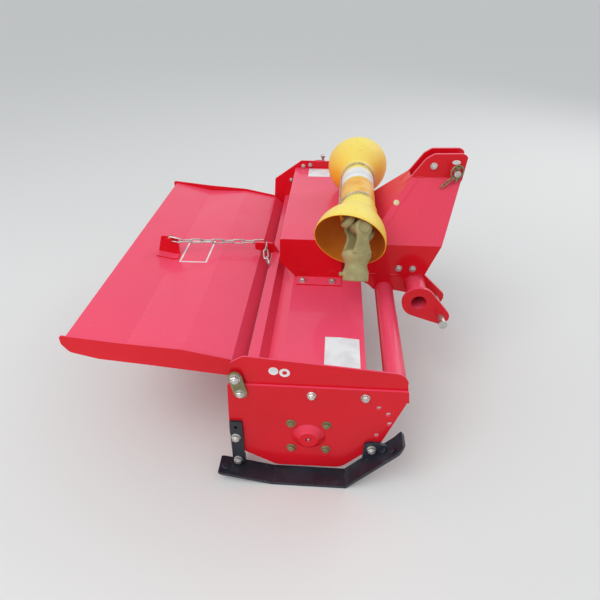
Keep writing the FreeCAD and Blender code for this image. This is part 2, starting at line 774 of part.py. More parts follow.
# Chain that holds the flap, with its bracket on the flap and its slotted bracket on the hood
def chain_link(centre, run, normal):
    """A wire bent into a long ring; run is its long direction, normal stands square to the ring."""
    step = 2 * math.pi / ring_steps
    corners = []
    for i in range(ring_steps):
        angle = (i + 0.5) * step
        x = chain_bend / math.cos(step / 2) * math.cos(angle)
        corners.append((x + math.copysign(chain_half, x), chain_bend / math.cos(step / 2) * math.sin(angle)))
    link = bent_wire(corners, chain_wire_r)
    return turned(link, run, normal, run.cross(normal)).translated(centre)


def chain(hook, rows):
    """Links hung one in the next, a row of (run, normal) each; hook is where the first one bears."""
    links = []
    held = None
    for run, normal in rows:
        run = V(run)
        run.normalize()
        normal = normal - run * normal.dot(run)
        normal.normalize()
        line = held.cross(normal) if held else V(run)
        line.normalize()
        if line.dot(run) < 0:
            line = line * -1
        centre = hook + line * (chain_bend + chain_slack) + run * chain_half
        links.append(chain_link(centre, run, normal))
        hook = centre + run * chain_half
        held = normal
    return Part.makeCompound(links)


def flap_surface(x):
    """Height of the raised flap's upper face at x."""
    for (x0, z0), (x1, z1) in zip(flap_points, flap_points[1:]):
        if x0 <= x <= x1:
            return z0 + (z1 - z0) * (x - x0) / (x1 - x0)


up = V(0, 0, 1)
across = V(0, 1, 0)
first_run = V(0.98, 0, -0.2)
first_run.normalize()
first_y = tab_y - chain_wire_r - chain_play
pin_grip = chain_pin_r + chain_wire_r + chain_play + chain_slack
first_hook = V(chain_pin_x, first_y, chain_pin_z) - first_run * pin_grip
chain_reach = chain_count * (chain_pitch - chain_play) + chain_inner_w / 2 + 2 * chain_wire_r
span_run = V(math.sqrt(chain_reach ** 2 - chain_dy ** 2 - chain_dz ** 2), chain_dy, -chain_dz)
span_rows = [(first_run, across)] + [(span_run, across if i % 2 else up) for i in range(chain_count)]
export(chain(first_hook, span_rows), "chain_span")
tail_rows = [
    (V(0, -0.985, -0.17), V(1, 0, 0)),
    (V(0.15, -0.93, -0.34), V(0, -0.34, 0.93)),
    (V(0.35, -0.93, 0), V(0.93, 0.35, 0)),
]
slot_hook = V(notch_x, notch_y + notch_t + 9.5, notch_slot_z + chain_inner_w / 2 + 2 * chain_wire_r + 3.0)
export(chain(slot_hook, tail_rows[:tail_count]), "chain_tail")

notch_rows = [
    (rail_front_x - 4, rail_z, 0),
    (rail_rear_x, rail_z, 0),
    (notch_x - 4, rail_z + 2, 3),
    (notch_x - 20, notch_slot_z - 9, 3),
    (notch_x - 38, notch_slot_z - 5, 3),
    (notch_x - 38, notch_top_z, 3),
    (rail_rear_x + 5, notch_top_z, 6),
]
notch_plate = plate_xz(notch_rows, notch_y, notch_y + notch_t)
slot = Part.makeBox(notch_w, notch_t, notch_top_z, V(notch_x - notch_w / 2, notch_y, notch_slot_z))
export(notch_plate.cut(slot), "chain_bracket")

tab_rear_x = chain_pin_x - 44
tab_front_x = chain_pin_x + 22
tab_rows = [
    (tab_rear_x, flap_surface(tab_rear_x), 0),
    (tab_rear_x, flap_surface(tab_rear_x) + 6, 4),
    (tab_rear_x + 15, chain_pin_z + 10, 8),
    (tab_front_x, chain_pin_z + 4, 6),
    (tab_front_x, flap_surface(tab_front_x), 0),
    (flap_points[1][0], flap_points[1][1], 0),
]
tab = plate_xz(tab_rows, tab_y, tab_y + tab_t)
foot_points = [
    (tab_rear_x, flap_surface(tab_rear_x)),
    (flap_points[1][0], flap_points[1][1]),
    (tab_front_x, flap_surface(tab_front_x)),
]
foot = plate_xz(strip_rows(foot_points, -tab_t), tab_y - tab_foot, tab_y + tab_t)
pin_end = first_y - chain_wire_r - chain_play
pin = fuse(
    rod_y(chain_pin_x, chain_pin_z, chain_pin_r, pin_end, tab_y),
    rod_y(chain_pin_x, chain_pin_z, 2 * chain_pin_r, pin_end - 3, pin_end),
)
export(fuse(tab, foot, pin), "flap_bracket")

# Drive shaft laid across the top for storage: guard tube, two cones, crosses and yokes
stow_run = V(stow_far_x - stow_near_x, stow_far_y - stow_near_y, 0)
stow_len = stow_run.Length
stow_turn = -math.degrees(math.atan2(stow_run.x, stow_run.y))
rest_r = cone_r + box_edge_r + rest_gap
rest_x = stow_far_x - deck_fold_x + box_edge_r
stow_z = box_top_z - box_edge_r + math.sqrt(rest_r ** 2 - rest_x ** 2)
cone_rows = [
    (cone_r, 0, 0),
    (cone_r - 8, 40, 0),
    (cone_r - 24, 74, 0),
    (tube_r + cone_wall, cone_len, 0),
    (tube_r + cone_wall, cone_len + cone_grip, 0),
    (tube_r, cone_len + cone_grip, 0),
    (tube_r, cone_len - 2, 0),
    (cone_r - 24 - cone_wall, 72, 0),
    (cone_r - 8 - cone_wall, 39, 0),
    (cone_r - cone_wall, 0, 0),
]


def stowed(shape):
    shape.rotate(V(0, 0, 0), V(0, 0, 1), stow_turn)
    shape.translate(V(stow_near_x, stow_near_y, stow_z))
    return shape


def both_ends(shape, name):
    far = mirrored(shape, stow_len / 2)
    export(Part.makeCompound([stowed(shape), stowed(far)]), name)


def yoke(arm, hub_r, hub_len):
    """Fork with its ears square to Y and its hub pointing down, about the cross's centre."""
    ears = []
    for s in (1, -1):
        ear_in = s * (yoke_half - yoke_ear_t)
        ears.append(two_circle_plate(0, 0, yoke_ear_r, 0, -arm, yoke_ear_r, ear_in, s * yoke_half))
    base = Part.makeCylinder(yoke_half, yoke_base, V(0, 0, -arm - yoke_base), V(0, 0, 1))
    base = base.common(Part.makeBox(2 * yoke_ear_r, 2 * yoke_half, yoke_base,
                                    V(-yoke_ear_r, -yoke_half, -arm - yoke_base)))
    hub = Part.makeCylinder(hub_r, hub_len, V(0, 0, -arm - yoke_base - hub_len), V(0, 0, 1))
    above = Part.makeBox(200, 200, arm + 60, V(-100, -100, -arm))
    return fuse(base, hub, *[e.common(above) for e in ears])


cone_wire = rounded_wire(cone_rows, lambda p: V(p.x, p.y, 0))
cone = Part.Face(cone_wire).revolve(V(0, 0, 0), V(0, 1, 0), 360)
far_cone = mirrored(cone, stow_len / 2)
# The near cone hangs off its neck and turns its mouth down, where no box or mast is below it
near_cone = cone.copy()
near_cone.rotate(V(0, cone_len, 0), V(1, 0, 0), cone_dip)
near_cone.rotate(V(0, cone_len, 0), V(0, 0, 1), -cone_swing)
near_cone = near_cone.cut(rod_y(0, 0, tube_r, cone_len, stow_len / 2))
export(Part.makeCompound([stowed(near_cone), stowed(far_cone)]), "guard_cones")
guard = rod_y(0, 0, tube_r, cone_len, stow_len - cone_len)
guard = guard.cut(rod_y(0, 0, tube_r - cone_wall, cone_len + cone_wall, stow_len - cone_len - cone_wall))
guard = guard.cut(rod_y(0, 0, shaft_tube_r, cone_len, stow_len - cone_len))
export(stowed(guard), "guard_tube")

turn = math.radians(cross_turn)
hang = math.radians(yoke_hang)
inner_pin = V(math.cos(turn), 0, math.sin(turn))
hub_dir = V(0, -math.sin(hang), -math.cos(hang))
outer_pin = inner_pin.cross(hub_dir)
outer_pin.normalize()
inner_yoke = turned(yoke(yoke_arm_in, shaft_tube_r, 8), inner_pin.cross(V(0, -1, 0)), inner_pin, V(0, -1, 0))
cross = fuse(
    Part.makeCylinder(cross_r, 2 * yoke_half, inner_pin * -yoke_half, inner_pin),
    Part.makeCylinder(cross_r, 2 * yoke_half, outer_pin * -yoke_half, outer_pin),
)
outer_yoke = yoke(yoke_arm_out, yoke_hub_r, yoke_len - yoke_arm_out - yoke_base)
outer_yoke = outer_yoke.cut(Part.makeCylinder(shaft_r, yoke_len, V(0, 0, -yoke_len), V(0, 0, 1)).cut(
    Part.makeBox(100, 100, 100, V(-50, -50, -yoke_arm_out - yoke_base - 4))))
latch = rod_x(0, -yoke_len + 18, 6, -yoke_hub_r - 16, -yoke_hub_r + 4)
outer_yoke = turned(fuse(outer_yoke, latch), outer_pin.cross(hub_dir * -1), outer_pin, hub_dir * -1)
outer_yoke = outer_yoke.cut(cross)
inner_yoke = inner_yoke.cut(cross)
for piece in (cross, inner_yoke, outer_yoke):
    piece.translate(V(0, cross_in, 0))
both_ends(fuse(cross, inner_yoke), "joint_crosses")
both_ends(outer_yoke, "joint_yokes")
inner_end = cross_in + yoke_arm_in + yoke_base + 8
shaft_tube = rod_y(0, 0, shaft_tube_r, inner_end, stow_len - inner_end)
export(stowed(shaft_tube), "shaft_tube")
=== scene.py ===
import math

import bmesh
import bpy
from mathutils import Matrix, Vector


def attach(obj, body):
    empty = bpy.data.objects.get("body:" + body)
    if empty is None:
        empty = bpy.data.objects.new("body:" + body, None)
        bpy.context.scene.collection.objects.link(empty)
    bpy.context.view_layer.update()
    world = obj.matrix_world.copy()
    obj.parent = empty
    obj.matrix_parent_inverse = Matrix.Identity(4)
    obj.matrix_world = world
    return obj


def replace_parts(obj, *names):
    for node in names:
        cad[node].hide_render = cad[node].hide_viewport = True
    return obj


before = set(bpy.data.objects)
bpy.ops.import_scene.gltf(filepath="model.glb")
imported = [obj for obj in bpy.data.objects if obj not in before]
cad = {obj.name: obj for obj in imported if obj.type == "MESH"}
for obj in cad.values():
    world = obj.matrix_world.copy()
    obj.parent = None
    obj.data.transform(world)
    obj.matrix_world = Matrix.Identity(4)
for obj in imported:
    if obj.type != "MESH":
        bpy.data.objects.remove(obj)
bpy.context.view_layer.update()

# Camera: held by someone standing at the machine's right rear corner and looking down
# across the raised flap towards the mast. Sizes are metres, in the machine's own frame.
camera_data = bpy.data.cameras.new("photo_camera")
camera_data.lens = 30.47
camera_data.sensor_width = 36.0
camera = bpy.data.objects.new("photo_camera", camera_data)
camera.location = (0.1271, -1.4382, 1.1816)
camera.rotation_euler = (math.radians(56.03), 0, math.radians(3.83))
bpy.context.scene.collection.objects.link(camera)
bpy.context.scene.camera = camera

# Studio: a pale floor under the skids, a white sky that paint and metal mirror, and two
# large soft lamps, one high over the right rear corner and a weaker one on the far side.
FLOOR_HALF = 40.0
FLOOR_Z = -0.0005
FLOOR_GREY = 0.78
SKY_LIGHT = 0.66
SKY_SHOWN = 1.0


def shader_tree(material):
    """The material's nodes, its links and its main shader, with nothing else in the tree."""
    material.use_nodes = True
    tree = material.node_tree
    shader = next(node for node in tree.nodes if node.type == "BSDF_PRINCIPLED")
    return tree.nodes, tree.links, shader


floor_mesh = bpy.data.meshes.new("floor")
floor_corners = ((-1, -1), (1, -1), (1, 1), (-1, 1))
floor_mesh.from_pydata([(x * FLOOR_HALF, y * FLOOR_HALF, FLOOR_Z) for x, y in floor_corners],
                       [], [(0, 1, 2, 3)])
floor = bpy.data.objects.new("floor", floor_mesh)
bpy.context.scene.collection.objects.link(floor)
floor_paint = bpy.data.materials.new("floor_paint")
_, _, floor_shader = shader_tree(floor_paint)
floor_shader.inputs["Base Color"].default_value = (FLOOR_GREY, FLOOR_GREY, FLOOR_GREY * 0.985, 1)
floor_shader.inputs["Roughness"].default_value = 0.9
floor_mesh.materials.append(floor_paint)

world = bpy.data.worlds.new("sky")
bpy.context.scene.world = world
world.use_nodes = True
sky_nodes = world.node_tree.nodes
sky_links = world.node_tree.links
sky_nodes.clear()
sky_light = sky_nodes.new("ShaderNodeBackground")
sky_light.inputs["Color"].default_value = (0.94, 0.97, 1.0, 1)
sky_light.inputs["Strength"].default_value = SKY_LIGHT
sky_shown = sky_nodes.new("ShaderNodeBackground")
sky_shown.inputs["Color"].default_value = (0.96, 0.98, 1.0, 1)
sky_shown.inputs["Strength"].default_value = SKY_SHOWN
ray = sky_nodes.new("ShaderNodeLightPath")
seen = sky_nodes.new("ShaderNodeMath")
seen.operation = "ADD"
sky_links.new(ray.outputs["Is Camera Ray"], seen.inputs[0])
sky_links.new(ray.outputs["Is Glossy Ray"], seen.inputs[1])
seen_all = sky_nodes.new("ShaderNodeMath")
seen_all.operation = "ADD"
seen_all.use_clamp = True
sky_links.new(seen.outputs[0], seen_all.inputs[0])
sky_links.new(ray.outputs["Is Transmission Ray"], seen_all.inputs[1])
sky_mix = sky_nodes.new("ShaderNodeMixShader")
sky_links.new(seen_all.outputs[0], sky_mix.inputs[0])
sky_links.new(sky_light.outputs[0], sky_mix.inputs[1])
sky_links.new(sky_shown.outputs[0], sky_mix.inputs[2])
sky_out = sky_nodes.new("ShaderNodeOutputWorld")
sky_links.new(sky_mix.outputs[0], sky_out.inputs["Surface"])

# each row: name, place, width, power in watts
lamp_rows = [
    ("key_lamp", (-1.6, -2.4, 3.4), 2.6, 72),
    ("fill_lamp", (2.4, 2.2, 2.6), 2.4, 28),
]
for lamp_name, lamp_place, lamp_width, lamp_power in lamp_rows:
    lamp_data = bpy.data.lights.new(lamp_name, "AREA")
    lamp_data.size = lamp_width
    lamp_data.energy = lamp_power
    lamp = bpy.data.objects.new(lamp_name, lamp_data)
    lamp.location = lamp_place
    lamp.rotation_euler = (Vector(lamp_place) - Vector((0, 0, 0.3))).to_track_quat("Z", "Y").to_euler()
    bpy.context.scene.collection.objects.link(lamp)

bpy.context.scene.view_settings.view_transform = "Standard"

# Painted sheet steel: hood, side plates, drive box, mast, hitch and flap. Cut and folded
# steel, welded, then powder coated a glossy red with a fine orange peel. The faces that
# look up carry a painted reflection of the sky in a pinker red, and the edges a painted
# highlight in a lighter red.
RED_DEEP = (0.64, 0.004, 0.012, 1)
RED_BRIGHT = (0.76, 0.006, 0.020, 1)
RED_SKY_SHEEN = (1.0, 0.13, 0.26, 1)
RED_EDGE_HIGHLIGHT = (0.90, 0.040, 0.085, 1)
SKY_SHEEN_SHARE = 0.56
EDGE_ROUND = 0.0011
PEEL_SIZE = 420.0
PEEL_DEPTH = 0.00008


def noise_value(nodes, links, scale, detail, where):
    """A noise pattern fixed to the piece, as one value from 0 to 1."""
    noise = nodes.new("ShaderNodeTexNoise")
    noise.inputs["Scale"].default_value = scale
    noise.inputs["Detail"].default_value = detail
    links.new(where.outputs["Object"], noise.inputs["Vector"])
    return noise.outputs["Fac"]


def ramp(nodes, links, value, rows):
    """Colour ramp over a value from rows of (place, colour); a bare number stands for a grey."""
    node = nodes.new("ShaderNodeValToRGB")
    stops = [(place, colour if isinstance(colour, tuple) else (colour, colour, colour, 1))
             for place, colour in rows]
    node.color_ramp.elements[0].position, node.color_ramp.elements[0].color = stops[0]
    node.color_ramp.elements[1].position, node.color_ramp.elements[1].color = stops[-1]
    for place, colour in stops[1:-1]:
        node.color_ramp.elements.new(place).color = colour
    links.new(value, node.inputs["Fac"])
    return node.outputs["Color"]


def mix(nodes, links, share, first, second):
    """Mix of two colours, each a colour or another node's colour, by a share."""
    node = nodes.new("ShaderNodeMix")
    node.data_type = "RGBA"
    colour_in = [socket for socket in node.inputs if socket.type == "RGBA"]
    for socket, value in zip(colour_in, (first, second)):
        if isinstance(value, tuple):
            socket.default_value = value
        else:
            links.new(value, socket)
    links.new(share, node.inputs["Factor"])
    return next(socket for socket in node.outputs if socket.type == "RGBA")


def times(nodes, links, first, second):
    """Product of a value with another value or a number, kept from 0 to 1."""
    node = nodes.new("ShaderNodeMath")
    node.operation = "MULTIPLY"
    node.use_clamp = True
    links.new(first, node.inputs[0])
    if isinstance(second, float):
        node.inputs[1].default_value = second
    else:
        links.new(second, node.inputs[1])
    return node.outputs[0]


def edge_share(nodes, links, width):
    """1 along the edges of plates and rods and 0 on their faces, with the rounded normal."""
    rounded = nodes.new("ShaderNodeBevel")
    rounded.samples = 6
    rounded.inputs["Radius"].default_value = width
    flat = nodes.new("ShaderNodeNewGeometry")
    dot = nodes.new("ShaderNodeVectorMath")
    dot.operation = "DOT_PRODUCT"
    links.new(rounded.outputs["Normal"], dot.inputs[0])
    links.new(flat.outputs["Normal"], dot.inputs[1])
    share = nodes.new("ShaderNodeMapRange")
    share.inputs["From Min"].default_value = 0.99
    share.inputs["From Max"].default_value = 0.80
    links.new(dot.outputs["Value"], share.inputs["Value"])
    return share.outputs["Result"], rounded.outputs["Normal"]


def bumped(nodes, links, value, depth, normal=None):
    """Bump from a value, on top of another normal where one is given."""
    bump = nodes.new("ShaderNodeBump")
    bump.inputs["Distance"].default_value = depth
    links.new(value, bump.inputs["Height"])
    if normal is not None:
        links.new(normal, bump.inputs["Normal"])
    return bump.outputs["Normal"]


def upward_share(nodes, links, share):
    """Share that is full on faces looking straight up and falls off towards upright ones."""
    geometry = nodes.new("ShaderNodeNewGeometry")
    split = nodes.new("ShaderNodeSeparateXYZ")
    links.new(geometry.outputs["Normal"], split.inputs[0])
    return times(nodes, links, split.outputs["Z"], share)


def red_paint(name, edge_width, grain_size, grain_depth, rough_low, rough_high, coat):
    material = bpy.data.materials.new(name)
    nodes, links, shader = shader_tree(material)
    where = nodes.new("ShaderNodeTexCoord")
    patches = noise_value(nodes, links, 3.2, 3.0, where)
    base = ramp(nodes, links, patches, [(0.3, RED_DEEP), (0.72, RED_BRIGHT)])
    # Faces that look up are mixed towards a pinker red: a painted reflection of the bright sky.
    sky_sheen_shown = mix(nodes, links, upward_share(nodes, links, SKY_SHEEN_SHARE), base, RED_SKY_SHEEN)
    edge, rounded = edge_share(nodes, links, edge_width)
    # Edges are painted a lighter red: a painted highlight where they catch the light.
    shown = mix(nodes, links, times(nodes, links, edge, 0.55), sky_sheen_shown, RED_EDGE_HIGHLIGHT)
    specks = noise_value(nodes, links, 150.0, 6.0, where)
    dust = times(nodes, links, ramp(nodes, links, specks, [(0.60, 0.0), (0.78, 0.22)]),
                 upward_share(nodes, links, 1.0))
    links.new(mix(nodes, links, dust, shown, (0.62, 0.36, 0.30, 1)), shader.inputs["Base Color"])
    haze = noise_value(nodes, links, 9.0, 4.0, where)
    links.new(ramp(nodes, links, haze, [(0.3, rough_low), (0.75, rough_high)]), shader.inputs["Roughness"])
    grain = noise_value(nodes, links, grain_size, 2.0, where)
    links.new(bumped(nodes, links, grain, grain_depth, rounded), shader.inputs["Normal"])
    shader.inputs["Specular IOR Level"].default_value = 0.12
    shader.inputs["Coat Weight"].default_value = coat
    shader.inputs["Coat Roughness"].default_value = 0.12
    shader.inputs["Coat IOR"].default_value = 1.5
    return material


def finish_nodes(material, names):
    """Gives each CAD piece named the material, in all of its slots."""
    for name in names:
        mesh = cad[name].data
        mesh.materials.clear()
        mesh.materials.append(material)


red_coat = red_paint("red_powder_coat", EDGE_ROUND, PEEL_SIZE, PEEL_DEPTH, 0.30, 0.46, 0.32)
red_nodes = [
    "hood_deck", "hood_end_near", "side_plate_near", "side_plate_far", "front_tube",
    "drive_box", "mast_plate_near", "mast_plate_far", "mast_shell_near", "mast_shell_far",
    "top_ear_near", "top_ear_far", "mast_rear_sheet", "hitch_tube", "hitch_plate_near",
    "hitch_plate_far", "flap", "flap_end_near", "flap_end_far", "chain_bracket", "flap_bracket",
]
finish_nodes(red_coat, red_nodes)

# Castings: gearbox, side gear case with its cover, rotor bearing and its cap. Cast iron
# under the same red, so the grain of the sand mould shows through the paint.
casting_red = red_paint("red_casting", 2 * EDGE_ROUND, 170.0, 0.0005, 0.38, 0.54, 0.24)
finish_nodes(casting_red, ["gearbox", "gear_case", "gear_case_cover", "bearing_housing", "bearing_cap"])

# Skids and straps: flat bar in blue-black paint, scuffed to bare steel in small spots along
# the edges and dulled by dry soil where it lies on the faces that look up.
BLACK_PAINT = (0.0075, 0.0100, 0.0175, 1)
BLACK_FADED = (0.020, 0.026, 0.042, 1)
BARE_STEEL = (0.30, 0.29, 0.28, 1)
DRY_SOIL = (0.16, 0.13, 0.10, 1)


def black_paint(name):
    material = bpy.data.materials.new(name)
    nodes, links, shader = shader_tree(material)
    where = nodes.new("ShaderNodeTexCoord")
    patches = noise_value(nodes, links, 14.0, 6.0, where)
    base = ramp(nodes, links, patches, [(0.35, BLACK_PAINT), (0.7, BLACK_FADED)])
    edge, rounded = edge_share(nodes, links, 1.4 * EDGE_ROUND)
    scuffs = noise_value(nodes, links, 60.0, 6.0, where)
    worn = times(nodes, links, edge, ramp(nodes, links, scuffs, [(0.50, 0.0), (0.64, 0.7)]))
    shown = mix(nodes, links, worn, base, BARE_STEEL)
    soil = times(nodes, links, ramp(nodes, links, noise_value(nodes, links, 32.0, 7.0, where),
                                    [(0.54, 0.0), (0.80, 0.16)]), upward_share(nodes, links, 1.0))
    shown = mix(nodes, links, soil, shown, DRY_SOIL)
    links.new(ramp(nodes, links, scuffs, [(0.3, 0.34), (0.7, 0.56)]), shader.inputs["Roughness"])
    links.new(bumped(nodes, links, scuffs, 0.0003, rounded), shader.inputs["Normal"])
    return material, nodes, links, shader, shown, where


black, _, black_links, black_shader, black_shown, _ = black_paint("black_paint")
black_links.new(black_shown, black_shader.inputs["Base Color"])
finish_nodes(black, ["skid_near", "skid_far", "skid_straps"])

# Rotor: tube, flanges and forged tines in the same black. The soil has ground the paint off
# the blades, so the bare steel starts past the flanges and is brightest at the tine circle.
ROTOR_AXIS = (0.089, 0.0, 0.142)
POLISH_FROM = 0.092
POLISH_TO = 0.132

tine_finish, tine_nodes, tine_links, tine_shader, tine_shown, tine_where = black_paint("tine_finish")
from_axis = tine_nodes.new("ShaderNodeVectorMath")
from_axis.operation = "SUBTRACT"
from_axis.inputs[1].default_value = ROTOR_AXIS
tine_links.new(tine_where.outputs["Object"], from_axis.inputs[0])
flattened = tine_nodes.new("ShaderNodeVectorMath")
flattened.operation = "MULTIPLY"
flattened.inputs[1].default_value = (1, 0, 1)
tine_links.new(from_axis.outputs[0], flattened.inputs[0])
reach = tine_nodes.new("ShaderNodeVectorMath")
reach.operation = "LENGTH"
tine_links.new(flattened.outputs[0], reach.inputs[0])
polish = tine_nodes.new("ShaderNodeMapRange")
polish.inputs["From Min"].default_value = POLISH_FROM
polish.inputs["From Max"].default_value = POLISH_TO
tine_links.new(reach.outputs["Value"], polish.inputs["Value"])
streaks = ramp(tine_nodes, tine_links, noise_value(tine_nodes, tine_links, 75.0, 6.0, tine_where),
               [(0.30, 0.45), (0.60, 1.0)])
ground_off = times(tine_nodes, tine_links, polish.outputs["Result"], streaks)
tine_links.new(mix(tine_nodes, tine_links, ground_off, tine_shown, (0.42, 0.40, 0.37, 1)),
               tine_shader.inputs["Base Color"])
tine_links.new(times(tine_nodes, tine_links, ground_off, 0.9), tine_shader.inputs["Metallic"])
finish_nodes(tine_finish, ["rotor"])

# Plated steel: bright zinc on pins, bolts, chains and shafts, and olive chromate over zinc
# on the hinge links, the hub's bolts and the linch pin, which dries to a dull green gold.
ZINC = (0.66, 0.65, 0.62, 1)
ZINC_DULL = (0.42, 0.41, 0.39, 1)
OLIVE = (0.30, 0.27, 0.13, 1)
OLIVE_DULL = (0.16, 0.15, 0.075, 1)


def plated_steel(name, bright, dull, metallic, patch_size, grain_size, grain_depth):
    material = bpy.data.materials.new(name)
    nodes, links, shader = shader_tree(material)
    where = nodes.new("ShaderNodeTexCoord")
    patches = noise_value(nodes, links, patch_size, 5.0, where)
    base = ramp(nodes, links, patches, [(0.35, dull), (0.65, bright)])
    edge, rounded = edge_share(nodes, links, 0.0006)
    links.new(mix(nodes, links, edge, base, bright), shader.inputs["Base Color"])
    links.new(ramp(nodes, links, patches, [(0.3, 0.46), (0.7, 0.28)]), shader.inputs["Roughness"])
    grain = noise_value(nodes, links, grain_size, 3.0, where)
    links.new(bumped(nodes, links, grain, grain_depth, rounded), shader.inputs["Normal"])
    shader.inputs["Metallic"].default_value = metallic
    return material


zinc = plated_steel("bright_zinc", ZINC, ZINC_DULL, 0.85, 45.0, 700.0, 0.00005)
olive = plated_steel("olive_chromate", OLIVE, OLIVE_DULL, 0.45, 55.0, 500.0, 0.00008)
finish_nodes(zinc, ["lower_pins", "top_pin", "shaft_tube"])
finish_nodes(olive, ["hinge_link_near", "hinge_link_far"])

# Bolts of the side plates, hood, box and mast: hexagon heads in bright zinc, pulled down on
# flat washers. Places are in millimetres from the rotor's axis, from midway between the side
# plates and from 28 mm under the skids' soles.
ORIGIN_SHIFT = Vector((89.0, -10.0, -28.0))
ROTOR_Z = 170
PLATE_FACE = 524.0
BOLT_ROW_Z = 318.0
LINK_THICK = 5
STUD_OUT = 3
near_out = (0, -1, 0)
far_out = (0, 1, 0)
top_out = (0, 0, 1)


def on_machine(x, y, z):
    """Place in metres in the machine's own frame, from millimetres."""
    return (Vector((x, y, z)) + ORIGIN_SHIFT) / 1000


def facing(place, out, turn=0.0):
    """Matrix whose Z axis points out of the surface at place, turned about it by degrees."""
    lean = Vector(out).to_track_quat("Z", "Y").to_matrix().to_4x4()
    return Matrix.Translation(place) @ lean @ Matrix.Rotation(math.radians(turn), 4, "Z")


def circle(mesh, place, radius, height, sides):
    """Ring of corners about the place's Z axis."""
    corners = []
    for i in range(sides):
        angle = 2 * math.pi * i / sides
        corner = Vector((radius * math.cos(angle), radius * math.sin(angle), height)) / 1000
        corners.append(mesh.verts.new(place @ corner))
    return corners


def band(mesh, lower, upper):
    """Wall of faces between two rings, and the faces themselves."""
    count = len(lower)
    return [mesh.faces.new((lower[i], lower[(i + 1) % count], upper[(i + 1) % count], upper[i]))
            for i in range(count)]


def stack(mesh, place, rings, sides):
    """Closed turned or prismatic body from rows of (radius, height) in millimetres."""
    loops = [circle(mesh, place, radius, height, sides) for radius, height in rings]
    for lower, upper in zip(loops, loops[1:]):
        band(mesh, lower, upper)
    mesh.faces.new(list(reversed(loops[0])))
    mesh.faces.new(loops[-1])


def piece(name, mesh, material, body, sharp=35, second=None):
    """Turns a mesh into a named piece of the machine that moves with a body."""
    data = bpy.data.meshes.new(name)
    bmesh.ops.recalc_face_normals(mesh, faces=mesh.faces[:])
    mesh.to_mesh(data)
    mesh.free()
    for face in data.polygons:
        face.use_smooth = True
    data.set_sharp_from_angle(angle=math.radians(sharp))
    data.materials.append(material)
    if second is not None:
        data.materials.append(second)
    made = bpy.data.objects.new(name, data)
    bpy.context.scene.collection.objects.link(made)
    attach(made, body)
    return made


def hex_bolt(mesh, place, size, washer=True, stud=0.0):
    """Hexagon head or nut over a washer; size is the thread, stud how far it stands out."""
    corner = 1.6 * size / math.sqrt(3)
    head = 0.68 * size
    base = 0.0
    if washer:
        base = 0.16 * size
        rim = 1.05 * size
        stack(mesh, place, [(rim, -0.3), (rim, base - 0.3), (rim - 0.3, base)], 28)
    stack(mesh, place, [(corner, base), (corner, base + 0.8 * head), (corner * 0.86, base + head)], 6)
    if stud > 0:
        bar = size / 2
        top = base + head + stud
        stack(mesh, place, [(bar, base + head - 0.5), (bar, top - 0.8), (bar - 0.8, top)], 20)


hood_bolts = bmesh.new()


def hood_bolt(x, y, z, out, turn, thread):
    """One bolt on its washer, with the end of its thread standing out."""
    hex_bolt(hood_bolts, facing(on_machine(x, y, z), out, turn), thread, True, STUD_OUT)


for bolt_x in (6.0, 138.0):
    hood_bolt(bolt_x, -PLATE_FACE, BOLT_ROW_Z, near_out, 12, 11.0)
    hood_bolt(bolt_x, PLATE_FACE, BOLT_ROW_Z, far_out, 25, 11.0)
for hinge_x, hinge_z, hinge_size in ((-180.0, 367.0, 13.0), (-170.0, 318.0, 11.0)):
    hood_bolt(hinge_x, -PLATE_FACE - LINK_THICK, hinge_z, near_out, 20, hinge_size)
    hood_bolt(hinge_x, PLATE_FACE + LINK_THICK, hinge_z, far_out, 5, hinge_size)
for bolt_x in (-42.0, 47.0):
    hood_bolt(bolt_x, -121, 398, top_out, 8, 10.0)
for bolt_x, bolt_z in ((-79.0, 531.0), (-52.0, 536.0), (-126.0, 473.0)):
    hood_bolt(bolt_x, 518, bolt_z, near_out, 20, 8.0)
for bolt_x in (245.0, 286.0):
    hood_bolt(bolt_x, -96, 438, near_out, 15, 10.0)
    hood_bolt(bolt_x, 246, 438, far_out, 33, 10.0)
for ear_y, ear_out in ((44.0, near_out), (106.0, far_out)):
    hood_bolt(332, ear_y, 705, ear_out, 10, 10.0)
piece("hood_bolts", hood_bolts, zinc, "frame")

# Bearing flange's bolts: four wide flange heads in olive chromate round the rotor's near
# end, pulled up on the side plate, with a grease nipple screwed into the bearing's cap.
HUB_BOLT_HALF = 46.0
hub_bolts = bmesh.new()
for along_x in (-HUB_BOLT_HALF, HUB_BOLT_HALF):
    for up_z in (-HUB_BOLT_HALF, HUB_BOLT_HALF):
        place = facing(on_machine(along_x, -PLATE_FACE, ROTOR_Z + up_z), near_out, 10 + up_z)
        stack(hub_bolts, place, [(12.6, -0.3), (12.6, 1.2), (9.6, 3.0), (9.2, 3.0)], 32)
        stack(hub_bolts, place, [(9.2, 2.6), (9.2, 7.6), (7.9, 8.8)], 6)
piece("hub_bolts", hub_bolts, olive, "frame")
nipple = bmesh.new()
nipple_place = facing(on_machine(0, -528, ROTOR_Z), near_out)
stack(nipple, nipple_place, [(4.6, -0.5), (4.6, 3.2), (4.2, 3.6)], 6)
stack(nipple, nipple_place, [(2.6, 3.2), (2.2, 6.0), (3.2, 7.6), (3.2, 8.4), (1.4, 9.6)], 20)
piece("grease_nipple", nipple, zinc, "frame")

